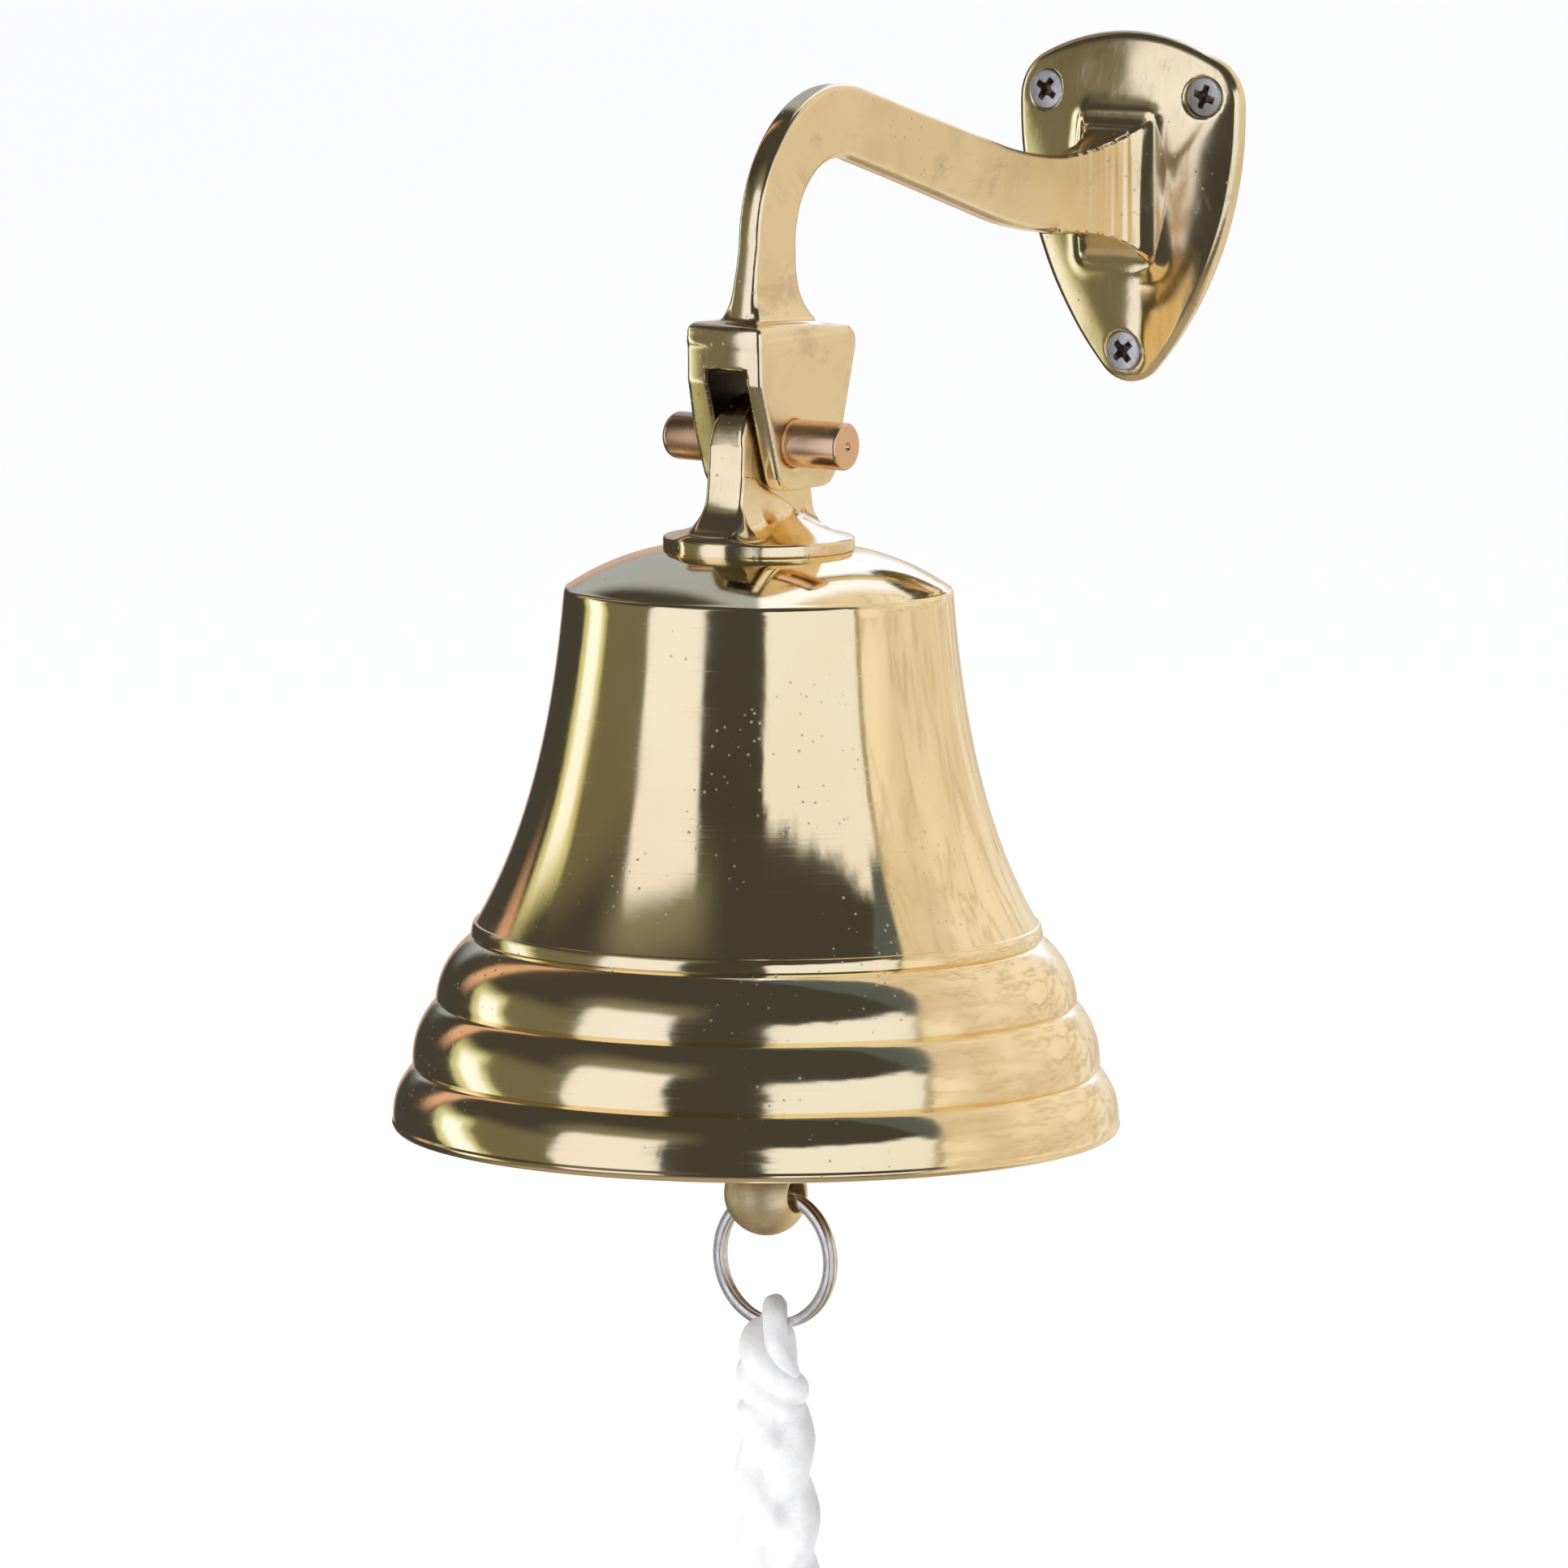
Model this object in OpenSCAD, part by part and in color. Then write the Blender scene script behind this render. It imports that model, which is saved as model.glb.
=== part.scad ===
// Wall-mounted ship bell: cast bracket, pinned bell, clapper, split ring and rope lanyard.
// Millimetres. +Z up, -Y out from the wall, X along the wall and along the pivot pin.
// The origin is on the wall face of the plate, on its centre line, at the height of the arm's root.

/* [Bell] */
// Outside diameter of the mouth
mouth_d = 125; // [90:1:200]
// Height of the shell from the seat of the hanger to the lip
bell_h = 100; // [70:0.5:160]
// Thickness of the waist
wall_t = 3.4; // [2.5:0.1:6]

/* [Bracket] */
// Distance from the wall to the pivot pin
reach = 120; // [100:1:180]
// Drop from the arm's root to the pivot pin
pin_drop = 36; // [30:1:60]
// Width of the wall plate
plate_w = 46.5; // [40:0.5:70]
// Thickness of the plate at its rim
plate_rim = 2.6; // [2:0.1:5]
// How far the face of the plate is domed
plate_dome = 3.4; // [1:0.1:6]
// Thickness of the flat arm
arm_t = 4.6; // [3:0.1:8]
// Depth of the flat arm
arm_depth = 12.8; // [8:0.1:18]
// Width of the fork
fork_w = 15; // [12:0.5:24]
// Width of the slot in the fork
slot_w = 8.3; // [6:0.1:12]

/* [Fixings] */
// Distance between the two upper wall screws
screw_spacing = 33; // [24:1:50]
// Height of the upper wall screws above the lower one
screw_rise = 46; // [30:1:60]
// Diameter of the wall screws
screw_d = 3.5; // [3:0.1:5]
// Length of the wall screws
screw_len = 12; // [11:1:40]
// Diameter of the pivot pin
pin_d = 8.2; // [5:0.1:10]
// Length of the pivot pin
pin_len = 36; // [24:1:50]
// Diameter of the threaded stud under the hanger
stud_d = 8; // [6:1:12]

/* [Clapper and lanyard] */
// Diameter of the clapper's bob
bob_d = 25; // [16:1:36]
// Outside diameter of the split ring
ring_d = 24.5; // [20:0.1:35]
// Thickness of the plaited rope
rope_d = 12.6; // [8:0.1:16]
// Thickness of the strand that makes the top loop
strand_d = 4.2; // [3:0.1:7]

/* [Output] */
// Sub-part to draw, or all of them

/* [Hidden] */
$fn = 64;

// Heights below are measured from the pivot pin.
pin_at = [0, -reach, -pin_drop];
seat_z = -18.5;                    // hanger's flange on the crown
lip_z = seat_z - bell_h;
crown_in_z = seat_z - 4;           // inside of the crown
washer_t = 1.6;
nut_h = 6.5;
tang_z = -36.5;                    // cross hole in the end of the stud
link_r = 6.5;                      // clapper link, to the middle of the wire
link_wire = 2.2;
eye_hole = 4.4;
eye_z = tang_z - 2 * link_r + link_wire / 2 - eye_hole / 2;
bob_z = lip_z + 16;
tail_z = lip_z - 11;               // cross hole in the clapper's tail
tail_d = 14.4;
ring_wire = [1.8, 2.7];            // radial and axial thickness of the two turns
ring_r = (ring_d - ring_wire.x) / 2;
ring_z = tail_z - ring_r + 0.15;
ring_low_z = ring_z - ring_r;
ring_x = 1.2;                      // the ring hangs to one side of the hole
rope_x = 2.4;                      // and the rope to one side of the ring
fit = 0.08;                        // running clearance on the radius

plate_top = 27.6;                  // above the arm's root
screw_z = plate_top - 10.9;
screw_head_d = 2 * screw_d;
seat_y = -4.4;                     // face of the screw heads

brass = [0.86, 0.70, 0.36];
copper = [0.78, 0.52, 0.34];
satin = [0.70, 0.58, 0.38];
zinc = [0.68, 0.68, 0.70];
steel = [0.66, 0.65, 0.63];
cotton = [0.95, 0.95, 0.93];

// ---------- curves ----------

function arc(c, r, a0, a1, n) = [for (i = [0 : n]) let (a = a0 + (a1 - a0) * i / n)
    c + r * [cos(a), sin(a)]];
function bezier(p, n) = [for (i = [0 : n]) let (t = i / n, u = 1 - t)
    u * u * u * p[0] + 3 * u * u * t * p[1] + 3 * u * t * t * p[2] + t * t * t * p[3]];
// A bulging moulding from point a to point b that stands proud of the straight line by h.
function bead(a, b, h, n) = [for (i = [1 : n - 1]) let (t = i / n, d = b - a)
    a + d * t + h * pow(sin(180 * t), 0.8) * [-d.y, d.x] / norm(d)];
function rev(v) = [for (i = [len(v) - 1 : -1 : 0]) v[i]];

module at_pin() translate(pin_at) children();
// Turns a drawing of distance toward the wall and height into a slice across X, w wide.
module across(w) translate([-w / 2, 0, 0]) rotate([90, 0, 90]) linear_extrude(w) children();
module along_x(d, x0, x1) translate([x0, 0, 0]) rotate([0, 90, 0]) cylinder(d = d, h = x1 - x0);
module ring(r, section) rotate_extrude() translate([r, 0]) circle(d = section);

// ---------- wall bracket ----------

// The outline of the plate is four kinds of arc, each tangent to the next: foot, side, corner, top.
side_r = 68;
corner_r = 9;
top_r = 40;
foot_r = 7.2;
side_c = [plate_w / 2 - side_r, plate_top - 14.2];
top_c = [0, plate_top - top_r];
foot_c = [0, side_c.y - sqrt(pow(side_r - foot_r, 2) - side_c.x * side_c.x)];
corner_c = meet(side_c, side_r - corner_r, top_c, top_r - corner_r);
plate_half = let (a1 = angle(foot_c - side_c), a2 = angle(corner_c - side_c), a3 = angle(corner_c - top_c))
    concat(arc(foot_c, foot_r, -90, a1, 6), tail(arc(side_c, side_r, a1, a2, 9)),
           tail(arc(corner_c, corner_r, a2, a3, 7)), tail(arc(top_c, top_r, a3, 90, 5)));
plate_outline = concat(plate_half, [for (p = rev(tail(plate_half))) if (p.x > 0.01) [-p.x, p.y]]);
plate_mid = [0, -2];               // where the dome's contours shrink toward

function angle(v) = atan2(v.y, v.x);
function tail(v) = [for (i = [1 : len(v) - 1]) v[i]];
// The right-hand crossing of a circle about p, radius a, with one about q, radius b.
function meet(p, a, q, b) = let (d = q - p, l = norm(d), k = (l * l + a * a - b * b) / (2 * l))
    p + k * d / l + sqrt(a * a - k * k) * [-d.y, d.x] / l * (d.y < 0 ? 1 : -1);

// The face is domed: the contours shrink as a quarter ellipse rises over them.
module plate() {
    n = len(plate_outline);
    steps = [[1, 0], [1, plate_rim], for (a = [22.5 : 22.5 : 67.5])
        [0.72 + 0.28 * cos(a), plate_rim + plate_dome * 0.8 * sin(a)], [0.7, plate_rim + plate_dome * 0.84],
        [0.4, plate_rim + plate_dome * 0.97], [0.15, plate_rim + plate_dome]];
    pts = [for (s = steps, p = plate_outline) let (q = plate_mid + s[0] * (p - plate_mid)) [q.x, -s[1], q.y]];
    polyhedron(pts, concat([[for (j = [0 : n - 1]) j]],
        [[for (j = [n - 1 : -1 : 0]) (len(steps) - 1) * n + j]],
        [for (i = [0 : len(steps) - 2], j = [0 : n - 1]) let (q = i * n, k = (j + 1) % n)
            [q + k, q + j, q + n + j, q + n + k]]));
}

// A shape lofted down rows of four corners each.
module loft(rows) {
    n = len(rows) - 1;
    polyhedron([for (r = rows, p = r) p], concat([[3, 2, 1, 0]], [[for (j = [0 : 3]) 4 * n + j]],
        [for (i = [0 : n - 1], j = [0 : 3]) let (q = 4 * i, k = (j + 1) % 4)
            [q + j, q + k, q + 4 + k, q + 4 + j]]));
}
function cove(t) = 1 - sqrt(1 - t * t * 0.99);
function mix(a, b, k) = a + (b - a) * k;

// Hollow-sided foot where the arm meets the plate.
flare_y = [-27, -4];
flare_half = [[arm_t / 2 + 0.15, 7.9], [11, 17]];
module flare() loft([for (i = [0 : 9]) let (h = mix(flare_half[0], flare_half[1], cove(i / 9)))
    [for (s = [[-1, -1], [1, -1], [1, 1], [-1, 1]]) [s.x * h.x, mix(flare_y[0], flare_y[1], i / 9), s.y * h.y]]]);

// Side view of the swan neck: up out of the fork, round, and down a slope to the flare.
module arm() {
    c = [22.1, 33.6];                // centre of the bend, from the pin
    r = 19.7;
    h = arm_depth / 2;
    slope = 15;
    far_r = 97;
    far_c = [reach - 22, far_r + 36.2];
    outer = concat([[-6.2, 25]], arc(c, r + h, 178, 90 - slope, 18),
                   arc(far_c, far_r - h - 0.6, 270 - slope, 270, 6));
    inner = concat(arc(far_c, far_r + h + 0.4, 270, 270 - slope, 6),
                   arc(c, r - h, 90 - slope, 178, 14), [[8.8, 27.2], [9, 25]]);
    at_pin() across(arm_t) polygon(concat(outer, inner));
}

// Soft shoulder where the flat arm broadens into the fork.
module neck() at_pin() loft([for (i = [0 : 8]) let (t = i / 8, k = cove(t),
        x = mix(arm_t / 2 + 0.15, fork_w / 2 - 0.4, k), front = mix(-6.7, -10, k), back = mix(9.3, 17, k),
        zf = mix(28.4, 20, t), zb = mix(29, 18, t))
    [[-x, front, zf], [x, front, zf], [x, back, zb], [-x, back, zb]]]);

module fork_side() hull() {
    translate([-8.8, 18.8]) circle(r = 2.2);
    translate([-8.4, 11]) circle(r = 2.2);
    translate([14.9, 15.8]) circle(r = 3.4);
    translate([8.9, -4.6]) circle(r = 3.6);
    translate([-1.4, -4.6]) circle(r = 3.6);
}

module fork() at_pin() difference() {
    intersection() {
        across(fork_w) fork_side();
        // the upright corners are rounded and the shoulders slope in
        rotate([90, 0, 0]) linear_extrude(60, center = true) hull() {
            for (s = [-1, 1]) {
                translate([s * (fork_w / 2 - 2.2), 18.6]) circle(r = 2.2);
                translate([s * (fork_w / 2 - 1.5), -7.1]) circle(r = 1.5);
            }
        }
    }
    translate([-slot_w / 2, -40, -30]) cube([slot_w, 80, 30 + 12.8]);
}

module wall_bracket() color(brass) difference() {
    union() {
        plate();
        flare();
        arm();
        neck();
        fork();
    }
    at_pin() along_x(pin_d, -20, 20);
    screw_places() {
        rotate([-90, 0, 0]) translate([0, 0, -12]) cylinder(d = screw_d + 0.3, h = 24);
        countersink(0.1);
    }
}

// ---------- fixings ----------

module screw_places() for (p = [[-screw_spacing / 2, screw_z], [screw_spacing / 2, screw_z],
                                [0, screw_z - screw_rise]])
    translate([p.x, 0, p.y]) children();

// Cone of a screw head, its flat face toward the room.
module countersink(gap) translate([0, seat_y, 0]) rotate([-90, 0, 0]) {
    translate([0, 0, -4]) cylinder(d = screw_head_d + 2 * gap, h = 4.25);
    translate([0, 0, 0.24]) cylinder(d1 = screw_head_d + 2 * gap, d2 = screw_d, h = 2.4);
}

module wall_screw() difference() {
    translate([0, seat_y, 0]) rotate([-90, 0, 0]) {
        cylinder(d = screw_head_d, h = 0.3);
        translate([0, 0, 0.29]) cylinder(d1 = screw_head_d, d2 = screw_d, h = 2.3);
        translate([0, 0, 2.5]) cylinder(d1 = screw_d - 0.9, d2 = screw_d - 0.05, h = 0.15 - seat_y - 2.5);
        translate([0, 0, 0.1 - seat_y]) cylinder(d = screw_d, h = screw_len - 2.5 - (0.1 - seat_y));
        translate([0, 0, screw_len - 2.55]) cylinder(d1 = screw_d, d2 = 0.4, h = 2.5);
    }
    // cross recess
    for (a = [0, 90]) translate([0, seat_y - 0.1, 0]) rotate([0, a, 0])
        translate([-2.1, 0, -0.5]) cube([4.2, 1.5, 1]);
}

module wall_screws() color(zinc) screw_places() wall_screw();

// Plain rod with one end rounded over and a drilled centre in the other.
module pivot_pin() color(copper) at_pin() difference() {
    rotate([0, 90, 0]) rotate_extrude() polygon(concat([[0, -pin_len / 2]],
        arc([pin_d / 2 - 1.8, -pin_len / 2 + 1.8], 1.8, -90, 0, 6),
        [[pin_d / 2, pin_len / 2 - 0.6], [pin_d / 2 - 0.45, pin_len / 2], [0, pin_len / 2]]));
    translate([pin_len / 2 - 0.8, 0, 0]) rotate([0, 90, 0]) cylinder(d1 = 0.4, d2 = 1.4, h = 1);
}

// ---------- bell ----------

module bell_hanger() color(brass) at_pin() difference() {
    union() {
        intersection() {
            across(8) union() {
                scale([1, 0.8]) circle(r = 10.4);
                for (s = [-1, 1]) polygon(concat([[0, 0], [s * 10.4, 0]],
                    bezier([[s * 10.6, -5], [s * 11, -10], [s * 13, -14.5], [s * 15.8, seat_z + 2]], 6),
                    [[0, seat_z + 2]]));
            }
            rotate([90, 0, 0]) linear_extrude(60, center = true)
                polygon([[-2.5, 10], [2.5, 10], [3.8, seat_z], [-3.8, seat_z]]);
        }
        // bell-mouthed foot and round flange
        rotate_extrude() polygon(concat([[0, seat_z], [0, -8.8]],
            bezier([[3.2, -8.8], [5.2, -12.2], [9, -14.8], [15.9, -16.2]], 10),
            [[16.4, -16.6], [16.4, seat_z + 0.3], [16.1, seat_z]]));
        translate([0, 0, tang_z + 3]) cylinder(d = stud_d, h = seat_z - tang_z - 2.9);
        // flat end of the stud, which carries the link
        intersection() {
            translate([0, 0, tang_z - 4]) cylinder(d = stud_d, h = 7.1);
            translate([-2.5, -10, tang_z - 4]) cube([5, 20, 7.1]);
        }
    }
    along_x(pin_d + 2 * fit, -10, 10);
    translate([0, 0, tang_z]) along_x(3.8, -10, 10);
}

// Outer profile of the shell, radius and height, from the crown down to the lip.
groove = [for (g = [[0.784, 66.7], [0.88, 77.8], [0.942, 89.1]])
    [g.x * mouth_d / 2, seat_z - g.y * bell_h / 100]];
shoulder = [33.1 / 62.5 * mouth_d / 2, seat_z - 6.4];
lip_r = mouth_d / 2;
bell_outer = concat(
    [[stud_d / 2 + 0.2, seat_z], [16.6, seat_z]],
    bezier([[17.5, seat_z - 0.15], [22, seat_z - 0.9], [28, seat_z - 3.2], shoulder - [0.5, 0]], 8),
    [shoulder + [0.15, -0.7]],
    bezier([shoulder + [0.3, -1.6], shoulder + [2.2, -25], groove[0] + [-9.2, 17], groove[0] + [-0.9, 2.6]], 20),
    [groove[0] + [-0.5, 2.5], groove[0] + [0.1, 0.35], groove[0] + [-0.35, 0]],
    bead(groove[0] + [0, -0.2], groove[1], 1.5, 9), [groove[1] + [-0.35, 0]],
    bead(groove[1] + [0, -0.2], groove[2], 1.35, 9), [groove[2] + [-0.35, 0]],
    bead(groove[2] + [0, -0.2], [lip_r - 0.3, lip_z + 1.4], 1.2, 9),
    arc([lip_r - 1.4, lip_z + 1.4], 1.4, 0, -90, 4));
bell_inner = concat(
    arc([lip_r - 4.6, lip_z + 1.2], 1.2, 270, 180, 3),
    [[groove[2].x - 6.4, groove[2].y], [groove[1].x - 6.2, groove[1].y + 0.5]],
    bezier([groove[0] + [-5.4, 0], groove[0] + [-13.4, 18], shoulder + [2.2 - wall_t, -25],
            shoulder + [-wall_t, -8]], 12),
    arc([shoulder.x - wall_t - 5, shoulder.y - 7.5], 5, 0, 62, 4),
    [[16.4, crown_in_z], [stud_d / 2 + 0.2, crown_in_z]]);

module bell_shell() color(brass) at_pin() rotate_extrude($fn = 128)
    polygon(concat(bell_outer, bell_inner));

module crown_washer() color(brass) at_pin() translate([0, 0, crown_in_z - washer_t]) difference() {
    cylinder(d = 20, h = washer_t);
    translate([0, 0, -1]) cylinder(d = stud_d + 0.4, h = washer_t + 2);
}

module crown_nut() color(brass) at_pin() translate([0, 0, crown_in_z - washer_t - nut_h])
    intersection() {
        difference() {
            cylinder(d = 13 / cos(30), h = nut_h, $fn = 6);
            translate([0, 0, -1]) cylinder(d = stud_d, h = nut_h + 2);
        }
        rotate_extrude() polygon([[0, 0], [6.4, 0], [7.6, 0.8], [7.6, nut_h - 0.8], [6.4, nut_h], [0, nut_h]]);
    }

// ---------- clapper ----------

module clapper_link() color(steel) at_pin() translate([0, 0, tang_z - link_r]) rotate([90, 0, 0])
    ring(link_r, link_wire);

module clapper() color(satin) at_pin() difference() {
    union() {
        rotate_extrude() polygon(concat(
            [[0, eye_z - 3], [2.2, eye_z - 3]],
            bezier([[2.3, eye_z - 6], [3.2, bob_z + 34], [3.4, bob_z + 26], [4.2, bob_z + 16]], 6),
            arc([0, bob_z], bob_d / 2, 62, -60, 16),
            [[5.2, bob_z - 12.6], [4.6, bob_z - 15.4], [4.4, tail_z + 8]],
            arc([0, tail_z - 0.2], tail_d / 2, 48, -90, 14)));
        translate([0, 0, eye_z]) across(3.4) circle(r = 4.9);
    }
    translate([0, 0, eye_z]) along_x(eye_hole, -5, 5);
    translate([0, 0, tail_z]) {
        along_x(5.4, -10, 10);
        for (s = [0, 180]) rotate([0, 90, s]) translate([0, 0, 2.6]) cylinder(d1 = 5.3, d2 = 10, h = 5);
    }
}

// ---------- split ring and lanyard ----------

// Two turns of flat wire lying side by side, with the fine line between them.
module split_ring() color(steel) at_pin() translate([ring_x, 0, ring_z]) rotate([90, 0, 0])
    rotate_extrude($fn = 96) translate([ring_r, 0]) {
        w = ring_wire.x / 2;
        h = ring_wire.y / 2;
        polygon([[-w, 0.1], [-w, h - 0.4], [-w + 0.4, h], [w - 0.4, h], [w, h - 0.4], [w, 0.1],
                 [w - 0.15, 0], [w, -0.1], [w, 0.4 - h], [w - 0.4, -h], [0.4 - w, -h],
                 [-w, 0.4 - h], [-w, -0.1], [0.15 - w, 0]]);
    }

// Route of the plaited rope below the knot, from the pin: straight down with a slight lean.
rope_top = ring_low_z - 13;
rope_route = [[0, 0, 0], [0.2, 0, -8], [0.5, 0.1, -16], [0.9, 0.2, -24], [1.3, 0.3, -32], [1.6, 0.3, -40],
    [1.8, 0.3, -48], [1.8, 0.2, -56], [1.6, 0.1, -64], [1.3, 0, -72], [1, 0, -80], [0.7, -0.1, -88],
    [0.4, -0.1, -96], [0.2, 0, -104], [0.1, 0, -112], [0, 0, -120]];
// The strand comes up behind the ring, over its lower arc and down in front of it.
loop_r = ring_wire.y / 2 + strand_d / 2 + 0.6;
loop_route = concat([[0, 3.2, -9.5], [0, loop_r, -4]],
    [for (a = [0 : 22.5 : 180]) [0, loop_r * cos(a), loop_r * sin(a) - 0.3]],
    [[0, -loop_r, -4], [0, -3.2, -9.5]]);

// A tube of radius r that follows the points p, with flat ends.
module tube(p, r, sides) {
    n = len(p);
    dir = [for (i = [0 : n - 1]) let (d = p[min(i + 1, n - 1)] - p[max(i - 1, 0)]) d / norm(d)];
    pts = [for (i = [0 : n - 1]) let (u = cross(dir[i], [1, 0, 0]), v = cross(dir[i], u / norm(u)))
        for (j = [0 : sides - 1]) p[i] + r * (cos(360 * j / sides) * u / norm(u) + sin(360 * j / sides) * v)];
    polyhedron(pts, concat([[for (j = [0 : sides - 1]) j]],
        [[for (j = [sides - 1 : -1 : 0]) (n - 1) * sides + j]],
        [for (i = [0 : n - 2], j = [0 : sides - 1]) let (a = i * sides + j, b = i * sides + (j + 1) % sides)
            [b, a, a + sides, b + sides]]));
}

// A knot: a rounded bulge of half width r between two heights.
module knot(r, z0, z1) translate([0, 0, (z0 + z1) / 2]) scale([r, r, (z0 - z1) / 2])
    rotate_extrude($fn = 24) polygon(concat([[0, -1]], arc([0, 0], 1, -75, 75, 10), [[0, 1]]));

module lanyard() color(cotton) at_pin() {
    translate([rope_x, 0, ring_low_z]) {
        tube(loop_route, strand_d / 2, 10);
        knot(rope_d / 2 + 0.3, -1.9, -18.5);
    }
    translate([rope_x, 0, rope_top]) {
        tube(rope_route, rope_d / 2, 12);
        knot(rope_d / 2 + 3.6, -114, -134);
        tube([[0, 0, -130], [0, 0, -136], [0.3, 0, -142], [0.3, 0, -147]], rope_d / 2 - 1, 12);
    }
}

wall_bracket();
wall_screws();
pivot_pin();
bell_hanger();
bell_shell();
crown_washer();
crown_nut();
clapper_link();
clapper();
split_ring();
lanyard();
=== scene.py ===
import math

import bpy
import numpy as np
from mathutils import Matrix, Vector


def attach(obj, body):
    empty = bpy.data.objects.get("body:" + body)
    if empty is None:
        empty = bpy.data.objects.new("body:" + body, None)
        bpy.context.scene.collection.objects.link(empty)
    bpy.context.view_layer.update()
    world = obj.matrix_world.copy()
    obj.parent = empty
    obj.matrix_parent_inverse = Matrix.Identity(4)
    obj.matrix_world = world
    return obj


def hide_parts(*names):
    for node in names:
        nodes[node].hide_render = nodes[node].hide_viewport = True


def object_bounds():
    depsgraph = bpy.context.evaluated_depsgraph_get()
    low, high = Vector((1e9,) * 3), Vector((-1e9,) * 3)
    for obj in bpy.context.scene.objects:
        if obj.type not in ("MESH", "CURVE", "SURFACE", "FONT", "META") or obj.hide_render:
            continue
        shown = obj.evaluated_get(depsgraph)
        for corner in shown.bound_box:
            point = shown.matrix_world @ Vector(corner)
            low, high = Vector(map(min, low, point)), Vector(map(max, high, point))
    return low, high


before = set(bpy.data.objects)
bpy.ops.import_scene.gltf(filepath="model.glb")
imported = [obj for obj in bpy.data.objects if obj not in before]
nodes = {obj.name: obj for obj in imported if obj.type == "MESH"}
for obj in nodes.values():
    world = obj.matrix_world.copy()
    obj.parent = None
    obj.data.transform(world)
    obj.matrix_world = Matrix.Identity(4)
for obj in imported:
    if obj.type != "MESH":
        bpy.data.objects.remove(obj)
cad_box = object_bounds()
MM = 0.001
REACH, DROP = 120.0, 36.0  # the pivot pin is this far from the wall and below the origin, in mm
VIEW_AZ, VIEW_EL, VIEW_ROLL = 33.5, 7.2, 0.3  # where the camera stands and how it is tilted, in degrees
VIEW_DISTANCE, VIEW_SHIFT, VIEW_HEIGHT = 2.222, 0.0045, -0.095  # in metres: off, to the right, up
VIEW_LENS = 298.13665  # in mm


# ---------- camera ----------


def axes_of_view(azimuth, elevation, roll):
    """The camera's right, up and back."""
    a, e, r = (math.radians(v) for v in (azimuth, elevation, roll))
    back = Vector((math.sin(a) * math.cos(e), -math.cos(a) * math.cos(e), math.sin(e)))
    side = Vector((0, 0, 1)).cross(back).normalized()
    up = back.cross(side)
    return side * math.cos(r) + up * math.sin(r), up * math.cos(r) - side * math.sin(r), back


cam_right, cam_up, cam_back = axes_of_view(VIEW_AZ, VIEW_EL, VIEW_ROLL)
camera = bpy.data.objects.new("camera", bpy.data.cameras.new("camera"))
bpy.context.scene.collection.objects.link(camera)
bpy.context.scene.camera = camera
camera.data.lens = VIEW_LENS
camera.data.clip_start, camera.data.clip_end = 0.05, 100
placed = Matrix((cam_right, cam_up, cam_back)).transposed().to_4x4()
placed.translation = Vector((0, -REACH * MM, VIEW_HEIGHT)) + VIEW_SHIFT * cam_right + VIEW_DISTANCE * cam_back
camera.matrix_world = placed
bpy.context.scene.view_settings.view_transform = "Standard"


# ---------- materials ----------


class Shade:
    """A node material, with short ways to add the nodes that this script uses."""

    def __init__(self, name, base, metallic=0.0, rough=0.5, **sockets):
        self.mat = bpy.data.materials.new(name)
        self.mat.use_nodes = True
        self.tree = self.mat.node_tree
        self.bsdf = self.tree.nodes["Principled BSDF"]
        self.set(self.bsdf, Base_Color=(*base, 1), Metallic=metallic, Roughness=rough, **sockets)
        self.place = self.node("TexCoord").outputs["Object"]

    def node(self, kind, **values):
        n = self.tree.nodes.new("ShaderNode" + kind)
        self.set(n, **values)
        return n

    def set(self, n, **values):
        for key, value in values.items():
            socket = n.inputs.get(key.replace("_", " "))
            if socket is None:
                setattr(n, key, value)
            elif isinstance(value, bpy.types.NodeSocket):
                self.tree.links.new(value, socket)
            else:
                socket.default_value = value

    def stretched(self, x, y, z, turned=0.0):
        m = self.node("Mapping")
        self.set(m, Vector=self.place, Scale=(x, y, z), Rotation=(0, turned, 0))
        return m.outputs["Vector"]

    def noise(self, scale, detail=3.0, rough=0.55, vector=None, distortion=0.0):
        n = self.node("TexNoise", Scale=scale, Detail=detail, Roughness=rough, Distortion=distortion)
        self.set(n, Vector=vector or self.place)
        return n.outputs["Fac"]

    def cells(self, scale, feature="F1", vector=None):
        n = self.node("TexVoronoi", feature=feature, Scale=scale)
        self.set(n, Vector=vector or self.place)
        return n.outputs["Distance"]

    def span(self, value, low, high, to_low=0.0, to_high=1.0):
        n = self.node("MapRange", interpolation_type="SMOOTHSTEP")
        self.set(n, Value=value)
        for key, v in (("From Min", low), ("From Max", high), ("To Min", to_low), ("To Max", to_high)):
            n.inputs[key].default_value = v
        return n.outputs["Result"]

    def math(self, operation, a, b=0.0):
        n = self.node("Math", operation=operation)
        for i, v in enumerate((a, b)):
            if isinstance(v, bpy.types.NodeSocket):
                self.tree.links.new(v, n.inputs[i])
            else:
                n.inputs[i].default_value = v
        return n.outputs[0]

    def mix(self, factor, a, b):
        n = self.node("Mix", data_type="RGBA")
        for i, v in ((0, factor), (6, a), (7, b)):
            if isinstance(v, bpy.types.NodeSocket):
                self.tree.links.new(v, n.inputs[i])
            else:
                n.inputs[i].default_value = (*v, 1) if isinstance(v, tuple) else v
        return n.outputs[2]

    def bump(self, *layers):
        """layers are (height, depth in mm)."""
        last = None
        for height, depth in layers:
            n = self.node("Bump", Strength=1.0, Distance=depth * MM, Height=height)
            if last is not None:
                self.set(n, Normal=last)
            last = n.outputs["Normal"]
        self.set(self.bsdf, Normal=last)


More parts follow.
